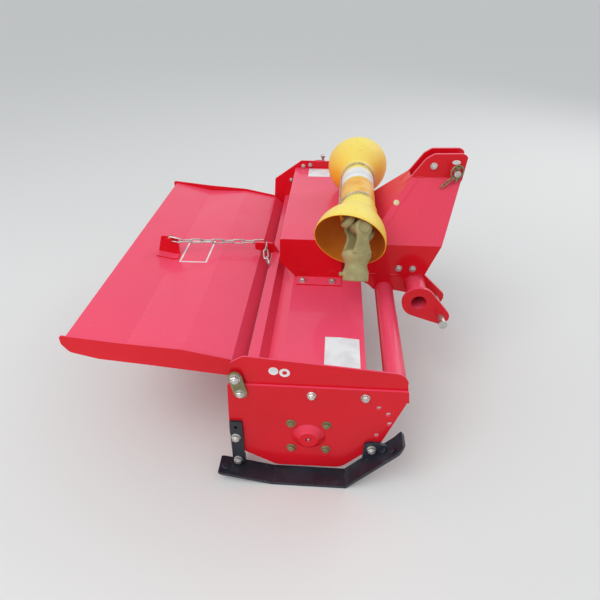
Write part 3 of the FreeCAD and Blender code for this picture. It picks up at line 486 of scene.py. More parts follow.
# Side gear case's fittings: fourteen small bolts round the cover's rim, which squeeze its
# gasket, with a level plug, a drain plug and a vented filler plug standing on the top.
case_bolts = bmesh.new()
COVER_FACE = 582.0
rim_places = [(80 * math.cos(math.radians(a)), 170 + 80 * math.sin(math.radians(a)))
              for a in (-165, -127, -90, -53, -15)]
rim_places += [(-18 + 70 * math.cos(math.radians(a)), 458 + 70 * math.sin(math.radians(a)))
               for a in (10, 50, 90, 130, 170)]
for share in (0.32, 0.68):
    rim_places += [(-18 * share + side * (80 - 10 * share), 170 + 288 * share) for side in (-1, 1)]
for bolt_x, bolt_z in rim_places:
    hex_bolt(case_bolts, facing(on_machine(bolt_x, COVER_FACE, bolt_z), far_out, bolt_x), 7.0, True, 0)
for plug_x, plug_z in ((-30.0, 312.0), (28.0, 112.0)):
    plug = facing(on_machine(plug_x, COVER_FACE, plug_z), far_out, 17)
    stack(case_bolts, plug, [(11.0, -0.3), (11.0, 1.4), (10.4, 1.8)], 32)
    stack(case_bolts, plug, [(8.6, 1.6), (8.6, 6.4), (7.6, 7.4)], 6)
vent = facing(on_machine(-3, 550, 524), top_out, 12)
stack(case_bolts, vent, [(11.0, 0), (11.0, 8), (9.6, 9)], 6)
stack(case_bolts, vent, [(5.2, 8.6), (5.2, 24), (5.2, 34)], 24)
stack(case_bolts, vent, [(8.6, 33), (9.4, 34.2), (9.4, 41), (7.2, 43.5), (3.0, 44.6)], 32)
piece("gear_case_fittings", case_bolts, zinc, "frame")

# Skid fixings: a bolt through each front ear and two through each rear strap, and plug welds
# where the bar is joined to its ears, ground down by the soil.
skid_bolts = bmesh.new()
plug_welds = bmesh.new()
SKID_FACE = 532.0
# each row: x, distance from the middle, z, and the way out of the bar
PLUG_ROWS = [(214.0, 557.0, 172.6, (-0.76, 0, 0.65)), (194.0, 541.0, 151.0, (-0.76, 0, 0.65)),
             (-222.0, 556.0, 71.2, (0.2, 0, 0.98))]
for side, out in ((-1, near_out), (1, far_out)):
    for bolt_x, bolt_z in ((166.0, 141.0), (-191.0, 161.0), (-191.0, 72.0)):
        bolt_place = facing(on_machine(bolt_x, side * SKID_FACE, bolt_z), out, 25 * side)
        hex_bolt(skid_bolts, bolt_place, 12.0, True, STUD_OUT)
    for weld_x, weld_y, weld_z, lean in PLUG_ROWS:
        mark = facing(on_machine(weld_x, side * weld_y, weld_z), lean)
        stack(plug_welds, mark, [(8.2, -1.0), (8.0, 0.5), (6.2, 1.2), (4.2, 0.9), (1.6, 1.3)], 24)
piece("skid_bolts", skid_bolts, zinc, "frame")
piece("skid_plug_welds", plug_welds, black, "frame", 60)

# Rotor's tine bolts: two short bolts clamp each tine's shank to its flange, with the heads
# on the tine and the nuts on the flange's other face. They turn with the rotor.
TINE_FLANGES = 6
FIRST_FLANGE_Y = -406.0
FLANGE_STEP = 164.8
FLANGE_HALF = 4.0
SHANK_OUT = 11.0
TINE_BOLT_R = 48
TINE_BOLT_HALF = 9.5
TINE_THREAD = 9.5
tine_bolts = bmesh.new()
for i in range(TINE_FLANGES):
    flange_y = FIRST_FLANGE_Y + i * FLANGE_STEP
    for k in range(4):
        side = 1 if k % 2 == 0 else -1
        swing = math.radians(90 * k + 15 * i)
        for beside in (-TINE_BOLT_HALF, TINE_BOLT_HALF):
            bolt_x = TINE_BOLT_R * math.sin(swing) + beside * math.cos(swing)
            bolt_z = ROTOR_Z + TINE_BOLT_R * math.cos(swing) - beside * math.sin(swing)
            head_at = on_machine(bolt_x, flange_y + side * SHANK_OUT, bolt_z)
            nut_at = on_machine(bolt_x, flange_y - side * FLANGE_HALF, bolt_z)
            hex_bolt(tine_bolts, facing(head_at, (0, side, 0), 40 * k), TINE_THREAD, False, 0)
            hex_bolt(tine_bolts, facing(nut_at, (0, -side, 0), 30), TINE_THREAD, False, STUD_OUT)
piece("tine_bolts", tine_bolts, tine_finish, "rotor")


# Weld beads: MIG welds laid round each tube and in stitches along the folded sheets, under
# the paint of what they join. Each bead shows the ripples that its pool left.
def tube(mesh, points, radius, sides, closed=False, radii=None):
    """Round bar along points in metres, with its radius in millimetres."""
    count = len(points)
    loops = []
    across = None
    for i, point in enumerate(points):
        if closed:
            run = points[(i + 1) % count] - points[i - 1]
        else:
            run = points[min(i + 1, count - 1)] - points[max(i - 1, 0)]
        run.normalize()
        if across is None:
            across = run.orthogonal().normalized()
        across = (across - run * across.dot(run)).normalized()
        beside = run.cross(across)
        size = (radii[i] if radii else radius) / 1000
        loop = []
        for k in range(sides):
            angle = 2 * math.pi * k / sides
            loop.append(mesh.verts.new(point + across * (size * math.cos(angle))
                                       + beside * (size * math.sin(angle))))
        loops.append(loop)
    for lower, upper in zip(loops, loops[1:]):
        band(mesh, lower, upper)
    if closed:
        shift = min(range(sides), key=lambda s: (loops[-1][0].co - loops[0][s].co).length)
        band(mesh, loops[-1], loops[0][shift:] + loops[0][:shift])
    else:
        mesh.faces.new(list(reversed(loops[0])))
        mesh.faces.new(loops[-1])


def spaced(points, step):
    """Points at equal steps in metres along a line of points."""
    laid = [points[0].copy()]
    left = step
    for start, end in zip(points, points[1:]):
        length = (end - start).length
        gone = left
        while gone <= length:
            laid.append(start.lerp(end, gone / length))
            gone += step
        left = gone - length
    return laid


def bead(mesh, points, size):
    """Rippled weld along points in metres, thinner where it starts and stops."""
    laid = spaced(points, 0.0019)
    radii = [size * (1.0 if i % 2 else 0.84) for i in range(len(laid))]
    radii[0] = radii[-1] = size * 0.4
    tube(mesh, laid, size, 8, False, radii)


def ring_line(place, radius, count=48):
    """Round line about the place's Z axis, with its first point again at the end."""
    angles = [2 * math.pi * i / count for i in range(count + 1)]
    return [place @ (Vector((radius * math.cos(angle), radius * math.sin(angle), 0)) / 1000)
            for angle in angles]


def stitches(mesh, start, end, size, length, gap):
    """Short beads along a straight line between two places in machine millimetres."""
    first, last = on_machine(*start), on_machine(*end)
    run = (last - first).normalized()
    total = (last - first).length * 1000
    at = 0.0
    while at < total:
        bead(mesh, [first + run * (at / 1000), first + run * (min(at + length, total) / 1000)], size)
        at += length + gap


frame_welds = bmesh.new()
for weld_y in (-187.0, 337.0, -93.0, -81.0, 231.0, 243.0):
    bead(frame_welds, ring_line(facing(on_machine(299, weld_y, 384), near_out), 30.6), 2.4)
for weld_y in (-513.4, 517.4):
    bead(frame_welds, ring_line(facing(on_machine(208, weld_y, 358), near_out), 28.6), 2.6)
stitches(frame_welds, (75.2, -80, 395), (75.2, 500, 395), 2.4, 38, 62)
stitches(frame_welds, (-110, 518, 450), (-110, 518, 516), 2.2, 60, 40)
stitches(frame_welds, (150, -96.5, 416.5), (320, -96.5, 416.5), 1.7, 30, 40)
stitches(frame_welds, (150, 246.5, 416.5), (320, 246.5, 416.5), 1.7, 30, 40)
stitches(frame_welds, (284, 43.6, 671), (412, 43.6, 671), 1.6, 26, 34)
stitches(frame_welds, (284, 106.4, 671), (412, 106.4, 671), 1.6, 26, 34)
stitches(frame_welds, (-150, 29.4, 409), (-128, 29.4, 409), 1.8, 22, 10)
stitches(frame_welds, (-150, 35.6, 409), (-128, 35.6, 409), 1.8, 22, 10)
stitches(frame_welds, (-60, -513.4, 394.4), (70, -513.4, 394.4), 2.2, 32, 48)
stitches(frame_welds, (-60, 517.4, 394.4), (70, 517.4, 394.4), 2.2, 32, 48)
piece("frame_welds", frame_welds, red_coat, "frame", 70)
flap_welds = bmesh.new()
stitches(flap_welds, (-500, -29.2, 437.8), (-458, -29.2, 429.6), 1.7, 20, 8)
for weld_y in (-505.6, 509.6):
    stitches(flap_welds, (-580, weld_y, 446.4), (-462, weld_y, 422.8), 2.0, 30, 44)
    stitches(flap_welds, (-440, weld_y, 420.9), (-320, weld_y, 421.8), 2.0, 30, 44)
piece("flap_welds", flap_welds, red_coat, "flap", 70)
rotor_welds = bmesh.new()
for i in range(TINE_FLANGES):
    for weld_side in (-1, 1):
        weld_y = FIRST_FLANGE_Y + i * FLANGE_STEP + weld_side * (FLANGE_HALF + 0.6)
        bead(rotor_welds, ring_line(facing(on_machine(0, weld_y, ROTOR_Z), near_out), 28.8, 36), 2.6)
piece("rotor_welds", rotor_welds, tine_finish, "rotor", 70)


# Mast's lap: the rear sheet's flange is folded over the near shell and painted with it, so a
# low step runs beside the sloping edge, with a pale plastic cap pressed into its hole.
def plate(mesh, corners, out, thick):
    """Flat sheet over corners in machine millimetres, thick along out."""
    lift = Vector(out).normalized() * thick / 1000
    low = [mesh.verts.new(on_machine(*corner)) for corner in corners]
    high = [mesh.verts.new(on_machine(*corner) + lift) for corner in corners]
    band(mesh, low, high)
    mesh.faces.new(list(reversed(low)))
    mesh.faces.new(high)


SHELL_OUT = (0, -0.742, 0.670)
LAP_WIDTH = 24.0
mast_lap = bmesh.new()
for fold, lap_out in ((1, SHELL_OUT), (-1, (0, 0.742, 0.670))):
    low_y, high_y = (-94.0, 42.0) if fold > 0 else (244.0, 108.0)
    plate(mast_lap, [(143.5, low_y, 517.2), (143.5 + LAP_WIDTH, low_y, 517.2),
                     (269.5 + LAP_WIDTH, high_y, 667.8), (269.5, high_y, 667.8)], lap_out, 1.3)
piece("mast_lap", mast_lap, red_coat, "frame")


def plain_plastic(name, colour, shade, rough):
    """Moulded or printed plastic sheet with faint scuffs and a fine grain."""
    material = bpy.data.materials.new(name)
    nodes, links, shader = shader_tree(material)
    where = nodes.new("ShaderNodeTexCoord")
    scuffs = noise_value(nodes, links, 24.0, 6.0, where)
    links.new(ramp(nodes, links, scuffs, [(0.35, shade), (0.60, colour)]), shader.inputs["Base Color"])
    links.new(ramp(nodes, links, scuffs, [(0.3, rough + 0.12), (0.7, rough)]), shader.inputs["Roughness"])
    grain = noise_value(nodes, links, 900.0, 2.0, where)
    links.new(bumped(nodes, links, grain, 0.00004), shader.inputs["Normal"])
    return material


cap_plastic = plain_plastic("cap_plastic", (0.80, 0.74, 0.46, 1), (0.62, 0.55, 0.30, 1), 0.40)
mast_cap = bmesh.new()
stack(mast_cap, facing(on_machine(228, -10.0, 610.2), SHELL_OUT),
      [(9.0, -0.5), (9.0, 2.0), (8.0, 3.6), (5.0, 4.6), (2.0, 4.9)], 32)
piece("mast_cap", mast_cap, cap_plastic, "frame")

# Labels: blank vinyl on the deck, the drive box and the near plate, with a plain white frame
# on the flap and an oval on the near ear. They are cut out and stuck on the paint.
LABEL_THICK = 0.35
label_white = plain_plastic("label_white", (0.84, 0.85, 0.86, 1), (0.70, 0.70, 0.71, 1), 0.34)
labels = bmesh.new()
plate(labels, [(34, -387, 394), (34, -500, 394), (74, -500, 394), (74, -387, 394)], top_out, LABEL_THICK)
plate(labels, [(74, -387, 394), (74, -500, 394), (122, -500, 389.35), (122, -387, 389.35)],
      (0.096, 0, 1), LABEL_THICK)
plate(labels, [(-55, 424, 524), (26, 424, 524), (26, 508, 524), (-55, 508, 524)], top_out, LABEL_THICK)
stack(labels, facing(on_machine(-87, -518, 386), near_out), [(12, 0), (12, LABEL_THICK)], 40)
dot_ring = facing(on_machine(-60, -518, 382), near_out)
ring_rows = [circle(labels, dot_ring, r, h, 40) for r, h in
             ((6, 0), (13, 0), (13, LABEL_THICK), (6, LABEL_THICK))]
for i in range(4):
    band(labels, ring_rows[i - 1], ring_rows[i])
oval = Matrix.Translation(on_machine(395, 44, 717)) @ Matrix.Rotation(math.radians(90), 4, "X") \
    @ Matrix.Diagonal((1.0, 0.55, 1.0, 1.0))
stack(labels, oval, [(12, 0), (12, LABEL_THICK)], 32)
piece("labels", labels, label_white, "frame")
flap_frame = bmesh.new()
FRAME_X = (-430.0, -343.0)
FRAME_Y = (-78.0, 65.0)
FRAME_LINE = 5.0


def flap_top(x, y):
    """Place on the flap's top sheet, which rises 1 mm in 143 towards the hood."""
    return x, y, 424 + (x + 452) / 143


for x0, x1, y0, y1 in (
        (FRAME_X[0], FRAME_X[1], FRAME_Y[0], FRAME_Y[0] + FRAME_LINE),
        (FRAME_X[0], FRAME_X[1], FRAME_Y[1] - FRAME_LINE, FRAME_Y[1]),
        (FRAME_X[0], FRAME_X[0] + FRAME_LINE, FRAME_Y[0] + FRAME_LINE, FRAME_Y[1] - FRAME_LINE),
        (FRAME_X[1] - FRAME_LINE, FRAME_X[1], FRAME_Y[0] + FRAME_LINE, FRAME_Y[1] - FRAME_LINE)):
    frame_side = [flap_top(x0, y0), flap_top(x1, y0), flap_top(x1, y1), flap_top(x0, y1)]
    plate(flap_frame, frame_side, top_out, LABEL_THICK)
piece("flap_frame", flap_frame, label_white, "flap")


# Flap's chain: bright zinc links bent from 4.8 mm wire and butt welded. The span runs from
# the flap's pin to the slot, where one link is held, and its tail hangs over the rail.
def chain_link(mesh, centre, run, normal, half, bend, wire, steps, sides):
    """One link: two half circles joined by straight sides, round the centre in metres."""
    side = normal.cross(run).normalized()
    points = []
    for i in range(steps):
        angle = 2 * math.pi * (i + 0.5) / steps
        x = bend * math.cos(angle)
        offset = run * (x + math.copysign(half, x)) + side * (bend * math.sin(angle))
        points.append(centre + offset / 1000)
    tube(mesh, points, wire, sides, closed=True)


CHAIN_HALF = 12.6
CHAIN_BEND = 6.7
CHAIN_WIRE = 2.4
CHAIN_SLACK = 1.6


def hung_chain(mesh, hook, rows):
    """Links hung one in the next from a place in machine millimetres, a (run, normal) each."""
    held = None
    for run, normal in rows:
        run = Vector(run).normalized()
        normal = Vector(normal)
        normal = (normal - run * normal.dot(run)).normalized()
        line = held.cross(normal).normalized() if held is not None else run.copy()
        if line.dot(run) < 0:
            line = -line
        centre = hook + line * (CHAIN_BEND + CHAIN_SLACK) + run * CHAIN_HALF
        chain_link(mesh, on_machine(*centre), run, normal, CHAIN_HALF, CHAIN_BEND, CHAIN_WIRE, 28, 12)
        hook = centre + run * CHAIN_HALF
        held = normal


span_start = Vector((-460, -36.7, 482)) - Vector((0.98, 0, -0.2)).normalized() * 7.3
span_rows = [((0.98, 0, -0.2), (0, 1, 0))]
span_rows += [((257.6, 93, -42), (0, 1, 0) if i % 2 else (0, 0, 1)) for i in range(8)]
chain_span = bmesh.new()
hung_chain(chain_span, span_start, span_rows)
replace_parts(piece("chain_span_links", chain_span, zinc, "flap", 80), "chain_span")
chain_tail = bmesh.new()
hung_chain(chain_tail, Vector((-168, 44.5, 436.1)),
           [((0, -0.985, -0.17), (1, 0, 0)), ((0.15, -0.93, -0.34), (0, -0.34, 0.93)),
            ((0.35, -0.93, 0), (0.93, 0.35, 0))])
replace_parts(piece("chain_tail_links", chain_tail, zinc, "frame", 80), "chain_tail")
tab_bolt = bmesh.new()
hex_bolt(tab_bolt, facing(on_machine(-460, -29.6, 482), far_out, 15), 8.0, True, 3)
piece("flap_tab_nut", tab_bolt, olive, "flap")

# Linch pin: a turned pin through the top pin's end, in olive chromate, with a sprung wire
# ring snapped over it and a short chain from the ring that lies on the mast's shell.
LINCH_X, LINCH_Y = 398.0, 26.0
linch = bmesh.new()
linch_place = facing(on_machine(LINCH_X, LINCH_Y, 703.5), top_out)
stack(linch, linch_place, [(2.0, -40), (3.9, -36), (3.9, 0), (8.0, 0.2), (8.0, 6.8), (6.8, 8.0)], 28)
linch_ring = Matrix.Translation(on_machine(LINCH_X, LINCH_Y, 695)) \
    @ Matrix.Rotation(math.radians(14), 4, "Z") @ Matrix.Rotation(math.radians(90), 4, "X")
tube(linch, ring_line(linch_ring, 19.0, 48)[:-1], 2.4, 12, closed=True)
chain_from, chain_to = on_machine(386, 24, 677), on_machine(358, 17, 652)
run = (chain_to - chain_from).normalized()
for i in range(4):
    normal = run.cross(Vector((0, 0, 1) if i % 2 else (0, 1, 0.6))).normalized()
    chain_link(linch, chain_from + run * (0.0112 * i), run, normal, 3.4, 4.2, 1.6, 20, 8)
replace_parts(piece("linch_pin_turned", linch, olive, "frame", 40), "linch_pin")

# Input shaft: turned steel with six splines for the drive shaft's yoke, a groove for its
# latch and a plain neck where the seal runs. It turns in the gearbox.
SPLINES = 6
SHAFT_Y, SHAFT_Z = 75.0, 456.0
input_shaft = bmesh.new()
shaft_place = facing(on_machine(0, SHAFT_Y, SHAFT_Z), (1, 0, 0))
stack(input_shaft, shaft_place, [(17.4, 64), (17.4, 214.5), (24.9, 215), (24.9, 224.4), (24.2, 225),
                                 (17.4, 225.2), (17.4, 244), (14.8, 246.4)], 64)
# each row: place along the shaft, radius of the crests, radius of the roots
SPLINE_ROWS = [(245.6, 14.8, 14.6), (248.6, 17.4, 14.6), (283.0, 17.4, 14.6), (284.2, 14.9, 14.6),
               (291.0, 14.9, 14.6), (292.2, 17.4, 14.6), (320.4, 17.4, 14.6), (322.0, 15.6, 14.4)]
# each row: degrees from a spline's middle, and whether that corner is on its crest
SPLINE_CORNERS = [(-27.5, False), (-18, False), (-14.6, True), (-5, True),
                  (5, True), (14.6, True), (18, False), (27.5, False)]
spline_loops = []
for shaft_x, crest, root in SPLINE_ROWS:
    loop = []
    for n in range(SPLINES):
        for degrees, on_crest in SPLINE_CORNERS:
            angle = math.radians(360 / SPLINES * n + degrees)
            size = crest if on_crest else root
            corner = Vector((size * math.cos(angle), size * math.sin(angle), shaft_x)) / 1000
            loop.append(input_shaft.verts.new(shaft_place @ corner))
    spline_loops.append(loop)
for lower, upper in zip(spline_loops, spline_loops[1:]):
    band(input_shaft, lower, upper)
input_shaft.faces.new(list(reversed(spline_loops[0])))
input_shaft.faces.new(spline_loops[-1])
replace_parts(piece("input_shaft_splined", input_shaft, zinc, "input", 25), "input_shaft")

# Drive shaft's guard: blow moulded yellow plastic, laid across the box and the mast with the
# shaft. The far cone rests on the box and the near one droops over the hood, turning on the
# tube's rounded collar. Faces that look up are painted a lighter yellow as painted light and the
# sides a deeper orange as painted shade. The thin wall lets some light in, and the inside is
# painted a dark orange brown as painted shade.
SHAFT_LENGTH = 504.143
NEAR_END = Matrix.Translation(on_machine(110, -196, 609.563)) @ Matrix.Rotation(math.radians(-1.364), 4, "Z")
FAR_END = NEAR_END @ Matrix.Translation((0, SHAFT_LENGTH / 1000, 0)) @ Matrix.Scale(-1, 4, (0, 1, 0))
ALONG = Matrix.Rotation(math.radians(-90), 4, "X")
CONE_HINGE = 0.105
# Painted light and shade: the top colour is the lit yellow, the side colour the shaded orange, and the inside
# colour the shade within the cones.
GUARD_LIT_TOP = (0.95, 0.78, 0.165, 1)
GUARD_SHADED_SIDE = (0.86, 0.44, 0.022, 1)
GUARD_INSIDE_SHADE = (0.56, 0.17, 0.012, 1)


def guard_plastic(name, level, upright, rough):
    material = bpy.data.materials.new(name)
    nodes, links, shader = shader_tree(material)
    where = nodes.new("ShaderNodeTexCoord")
    flow = noise_value(nodes, links, 7.0, 3.0, where)
    side = ramp(nodes, links, flow, [(0.3, upright), (0.7, tuple(1.12 * c for c in upright[:3]) + (1,))])
    # Faces that look up are mixed towards the lit colour as painted light; the sides keep the painted shade.
    shown = mix(nodes, links, upward_share(nodes, links, 0.95), side, level)
    grime = times(nodes, links, ramp(nodes, links, noise_value(nodes, links, 55.0, 7.0, where),
                                     [(0.58, 0.0), (0.80, 0.30)]), upward_share(nodes, links, 1.0))
    links.new(mix(nodes, links, grime, shown, (0.42, 0.27, 0.07, 1)), shader.inputs["Base Color"])
    scuffs = noise_value(nodes, links, 30.0, 5.0, where)
    links.new(ramp(nodes, links, scuffs, [(0.3, rough), (0.7, rough + 0.16)]), shader.inputs["Roughness"])
    grain = noise_value(nodes, links, 380.0, 3.0, where)
    links.new(bumped(nodes, links, grain, 0.00012), shader.inputs["Normal"])
    shader.inputs["Specular IOR Level"].default_value = 0.35
    shader.inputs["Subsurface Weight"].default_value = 0.18
    shader.inputs["Subsurface Radius"].default_value = (1.0, 0.45, 0.08)
    shader.inputs["Subsurface Scale"].default_value = 0.006
    return material


guard_yellow = guard_plastic("guard_yellow", GUARD_LIT_TOP, GUARD_SHADED_SIDE, 0.36)
# The cones' inner walls get a dark orange brown: painted shade inside the bells.
guard_inside_shaded = guard_plastic("guard_inside_shaded", GUARD_INSIDE_SHADE, GUARD_INSIDE_SHADE, 0.44)
# each row: radius, place along the shaft from the cone's mouth
CONE_OUTSIDE = [(99.3, 0), (100, 0.9), (99.6, 8), (97.8, 20), (94.2, 34), (88.6, 48), (81.0, 62), (72.5, 75),
                (64.5, 87), (57.5, 97), (53.8, 103), (53, 107), (53, 116.4), (52.4, 117)]
CONE_INSIDE = [(50, 117), (50, 104), (54, 97), (61.5, 86), (69.5, 74), (78.0, 61), (85.6, 47), (91.2, 33),
               (94.8, 19), (96.6, 8), (97, 0.9), (97.7, 0)]


def guard_cone(mesh, place):
    """Bell with an outer and an inner wall; the inner wall takes the second material."""
    outer = [circle(mesh, place, radius, height, 96) for radius, height in CONE_OUTSIDE]
    inner = [circle(mesh, place, radius, height, 96) for radius, height in CONE_INSIDE]
    rings = outer + inner
    for n in range(len(rings)):
        for face in band(mesh, rings[n - 1], rings[n]):
            face.material_index = 1 if n > len(outer) else 0


cones = bmesh.new()
droop = Matrix.Translation((0, CONE_HINGE, 0)) @ Matrix.Rotation(math.radians(-12), 4, "Z") \
    @ Matrix.Rotation(math.radians(22), 4, "X") @ Matrix.Translation((0, -CONE_HINGE, 0))
guard_cone(cones, NEAR_END @ droop @ ALONG)
guard_cone(cones, FAR_END @ ALONG)
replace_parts(piece("guard_cones_moulded", cones, guard_yellow, "frame", 50, guard_inside_shaded),
            "guard_cones")
guard_tube = bmesh.new()
tube_rings = [circle(guard_tube, NEAR_END @ ALONG, radius, height, 80) for radius, height in (
    (20.8, 96), (49.5, 96), (51.6, 97), (52.4, 102), (52.5, 105), (52.3, 110), (51.6, 115), (50, 121),
    (50, 376), (51.2, 377), (51.2, 381), (50, 382), (50, 398), (49.2, 399), (20.8, 399))]
for n in range(len(tube_rings)):
    band(guard_tube, tube_rings[n - 1], tube_rings[n])
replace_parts(piece("guard_tube_moulded", guard_tube, guard_yellow, "frame", 50),
            "guard_tube")


# Guard's labels and chain: a blank white band and a blank orange sticker round the tube,
# and a thin plated chain that loops both necks and runs along the tube's rear side.
def wrapped(mesh, radius, y0, y1, from_angle, to_angle):
    """Sticker round the guard tube, from angles in degrees with 90 at the top."""
    rows = []
    for height in (y0, y1):
        row = []
        for i in range(33):
            angle = math.radians(from_angle + (to_angle - from_angle) * i / 32)
            row.append(mesh.verts.new(NEAR_END @ (Vector((radius * math.cos(angle), height,
                                                          radius * math.sin(angle))) / 1000)))
        rows.append(row)
    for i in range(32):
        mesh.faces.new((rows[0][i], rows[0][i + 1], rows[1][i + 1], rows[1][i]))


tube_band = bmesh.new()
wrapped(tube_band, 50.45, 268, 348, 12, 172)
piece("guard_band", tube_band, label_white, "frame")
label_orange = plain_plastic("label_orange", (0.90, 0.50, 0.035, 1), (0.80, 0.36, 0.02, 1), 0.32)
tube_sticker = bmesh.new()
wrapped(tube_sticker, 50.45, 140, 262, 30, 158)
piece("guard_sticker", tube_sticker, label_orange, "frame")
GUARD_CHAIN_R = 53.2
# each row: degrees about the tube with 90 at the top, place along it
GUARD_CHAIN_TURNS = [(62, 133), (120, 131), (184, 136), (186, 180), (184, 300),
                     (186, 362), (150, 372), (90, 376), (30, 373), (-25, 366)]
chain_path = []
for (a0, y0), (a1, y1) in zip(GUARD_CHAIN_TURNS, GUARD_CHAIN_TURNS[1:]):
    for i in range(12):
        angle = math.radians(a0 + (a1 - a0) * i / 12)
        height = y0 + (y1 - y0) * i / 12
        spot = Vector((GUARD_CHAIN_R * math.cos(angle), height, GUARD_CHAIN_R * math.sin(angle))) / 1000
        chain_path.append(NEAR_END @ spot)
guard_chain = bmesh.new()
fine_places = spaced(chain_path, 0.0078)
for i, place in enumerate(fine_places[:-1]):
    run = (fine_places[i + 1] - place).normalized()
    local = NEAR_END.inverted() @ place
    outward = (NEAR_END.to_3x3() @ Vector((local.x, 0, local.z))).normalized()
    outward = (outward - run * outward.dot(run)).normalized()
    chain_link(guard_chain, place, run, outward if i % 2 else outward.cross(run), 2.6, 2.6, 0.95, 16, 6)
piece("guard_chain", guard_chain, zinc, "frame", 80)


# Drive shaft's joints: yokes forged and then painted a flat khaki, each with a cross in its
# ears. The outer yokes hang from their crosses and have a push latch and a splined bore. The
# rounded edges come from a fine remesh, as a forging has no sharp ones.
def khaki_paint():
    material = bpy.data.materials.new("khaki_paint")
    nodes, links, shader = shader_tree(material)
    where = nodes.new("ShaderNodeTexCoord")
    patches = noise_value(nodes, links, 26.0, 5.0, where)
    base = ramp(nodes, links, patches, [(0.32, (0.27, 0.235, 0.095, 1)), (0.66, (0.40, 0.355, 0.155, 1))])
    edge, rounded = edge_share(nodes, links, 0.0012)
    links.new(mix(nodes, links, times(nodes, links, edge, 0.5), base, (0.50, 0.45, 0.23, 1)),
              shader.inputs["Base Color"])
    grain = noise_value(nodes, links, 240.0, 4.0, where)
    links.new(bumped(nodes, links, grain, 0.00035, rounded), shader.inputs["Normal"])
    links.new(ramp(nodes, links, patches, [(0.3, 0.62), (0.7, 0.46)]), shader.inputs["Roughness"])
    return material


def slab(mesh, place, outline, low, high):
    """Prism over an outline in millimetres, between two heights along the place's Z axis."""
    rings = [[mesh.verts.new(place @ (Vector((x, y, height)) / 1000)) for x, y in outline]
             for height in (low, high)]
    band(mesh, *rings)
    mesh.faces.new(list(reversed(rings[0])))
    mesh.faces.new(rings[1])


EAR_R = 24.0
EAR_IN, EAR_OUT = 27.0, 41.0
ARM = 62.0


def fork(mesh, place):
    """Two ears about the cross's centre and the bridge that joins them, with Z away from the hub."""
    ear = [(EAR_R * math.cos(math.radians(a)), EAR_R * math.sin(math.radians(a))) for a in range(0, 181, 12)]
    ear += [(-EAR_R + 8, -23), (-EAR_R + 7, -36), (-EAR_R - 3, -ARM - 6), (EAR_R + 3, -ARM - 6),
            (EAR_R - 7, -36), (EAR_R - 8, -23)]
    upright = place @ Matrix.Rotation(math.radians(90), 4, "X")
    slab(mesh, upright, ear, EAR_IN, EAR_OUT - 2)
    slab(mesh, upright, ear, -EAR_OUT + 2, -EAR_IN)
    for out in (-1, 1):
        boss = upright @ Matrix.Scale(out, 4, (0, 0, 1))
        stack(mesh, boss, [(EAR_R, EAR_IN), (EAR_R, EAR_OUT), (EAR_R - 2, EAR_OUT + 1)], 40)
    bridge = [(27 * math.cos(math.radians(a)), 41 * math.sin(math.radians(a))) for a in range(0, 360, 12)]
    slab(mesh, place, bridge, -ARM - 15, -ARM + 2)


def forged(name, mesh, voxel, rounds, material, body):
    """Piece with its bodies melted into one and its edges rounded."""
    rough = piece(name + "_blank", mesh, material, body)
    melt = rough.modifiers.new("melt", "REMESH")
    melt.mode = "VOXEL"
    melt.voxel_size = voxel
    ease = rough.modifiers.new("ease", "SMOOTH")
    ease.iterations = rounds
    bpy.context.view_layer.update()
    data = bpy.data.meshes.new_from_object(rough.evaluated_get(bpy.context.evaluated_depsgraph_get()))
    bpy.data.objects.remove(rough)
    for face in data.polygons:
        face.use_smooth = True
    made = bpy.data.objects.new(name, data)
    data.materials.clear()
    data.materials.append(material)
    bpy.context.scene.collection.objects.link(made)
    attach(made, body)
    return made


def axes(x_axis, y_axis, z_axis):
    return Matrix((x_axis, y_axis, z_axis)).transposed().to_4x4()


CROSS_IN = 0.010
FORGE_GRAIN = 0.0018
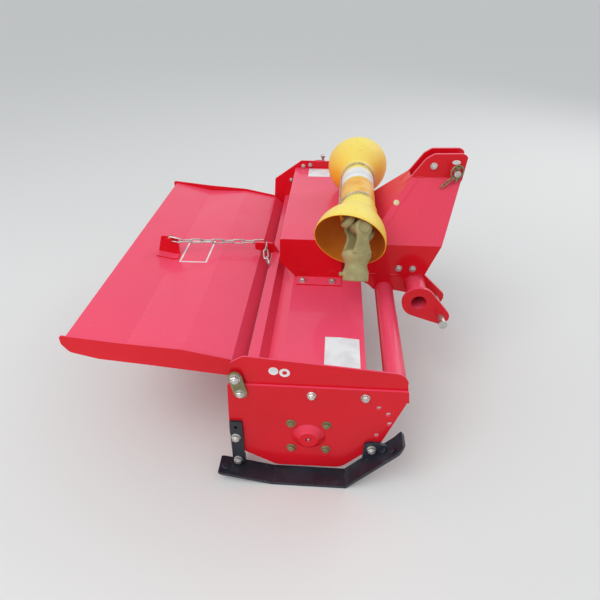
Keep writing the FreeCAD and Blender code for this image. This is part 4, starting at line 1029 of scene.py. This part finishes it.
# each row: radius, place along the hub from the cross's centre
HUB_ROWS = [(17.5, -142), (33.4, -142), (35.2, -140), (35.2, -116), (31.8, -109), (29.2, -99),
            (32.0, -90), (38.0, -80), (40.5, -72), (38, -62), (30, -57), (1, -57), (1, -82), (17.5, -82)]
inner_pin = Vector((math.cos(math.radians(-40)), 0, math.sin(math.radians(-40))))
hub_line = Vector((0, -0.5, -0.866)).normalized()
outer_pin = inner_pin.cross(hub_line).normalized()
outer_axes = axes(outer_pin.cross(-hub_line).normalized(), outer_pin, -hub_line)
inner_axes = axes(inner_pin.cross(Vector((0, -1, 0))).normalized(), inner_pin, Vector((0, -1, 0)))
khaki = khaki_paint()
outer_yokes = bmesh.new()
inner_forks = bmesh.new()
bearing_rings = bmesh.new()
for end in (NEAR_END, FAR_END):
    centre = end @ Matrix.Translation((0, CROSS_IN, 0))
    place = centre @ outer_axes
    fork(outer_yokes, place)
    hub_rings = [circle(outer_yokes, place, radius, height, 64) for radius, height in HUB_ROWS]
    for n in range(len(hub_rings)):
        band(outer_yokes, hub_rings[n - 1], hub_rings[n])
    latch = place @ Matrix.Translation((-0.030, 0, -0.124)) @ Matrix.Rotation(math.radians(-90), 4, "Y")
    stack(outer_yokes, latch, [(9.0, -4), (8.6, 6), (5.4, 8), (5.4, 11), (6.2, 12), (6.2, 16), (4.6, 17)], 28)
    fork(inner_forks, centre @ inner_axes)
    stack(inner_forks, centre @ inner_axes,
          [(20.6, -ARM - 24), (22, -ARM - 20), (25, -ARM - 12), (25, -ARM)], 40)
    for pin_axes in (outer_axes, inner_axes):
        arm = centre @ pin_axes @ Matrix.Rotation(math.radians(90), 4, "X")
        stack(inner_forks, arm, [(12, -38), (12, -24), (15, -18), (15, 18), (12, 24), (12, 38)], 36)
        for out in (-1, 1):
            cap = arm @ Matrix.Scale(out, 4, (0, 0, 1))
            stack(bearing_rings, cap, [(14.6, 36), (14.6, 43.2), (13.4, 43.8), (11.8, 42.8), (4, 42.6)], 40)
            seal = ring_line(cap @ Matrix.Translation((0, 0, 0.0424)), 17.4, 40)[:-1]
            tube(bearing_rings, seal, 1.5, 8, closed=True)
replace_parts(forged("joint_yokes_forged", outer_yokes, FORGE_GRAIN, 9, khaki, "frame"),
            "joint_yokes")
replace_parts(forged("joint_crosses_forged", inner_forks, FORGE_GRAIN, 8, khaki, "frame"),
            "joint_crosses")
piece("joint_bearing_caps", bearing_rings, khaki, "frame")
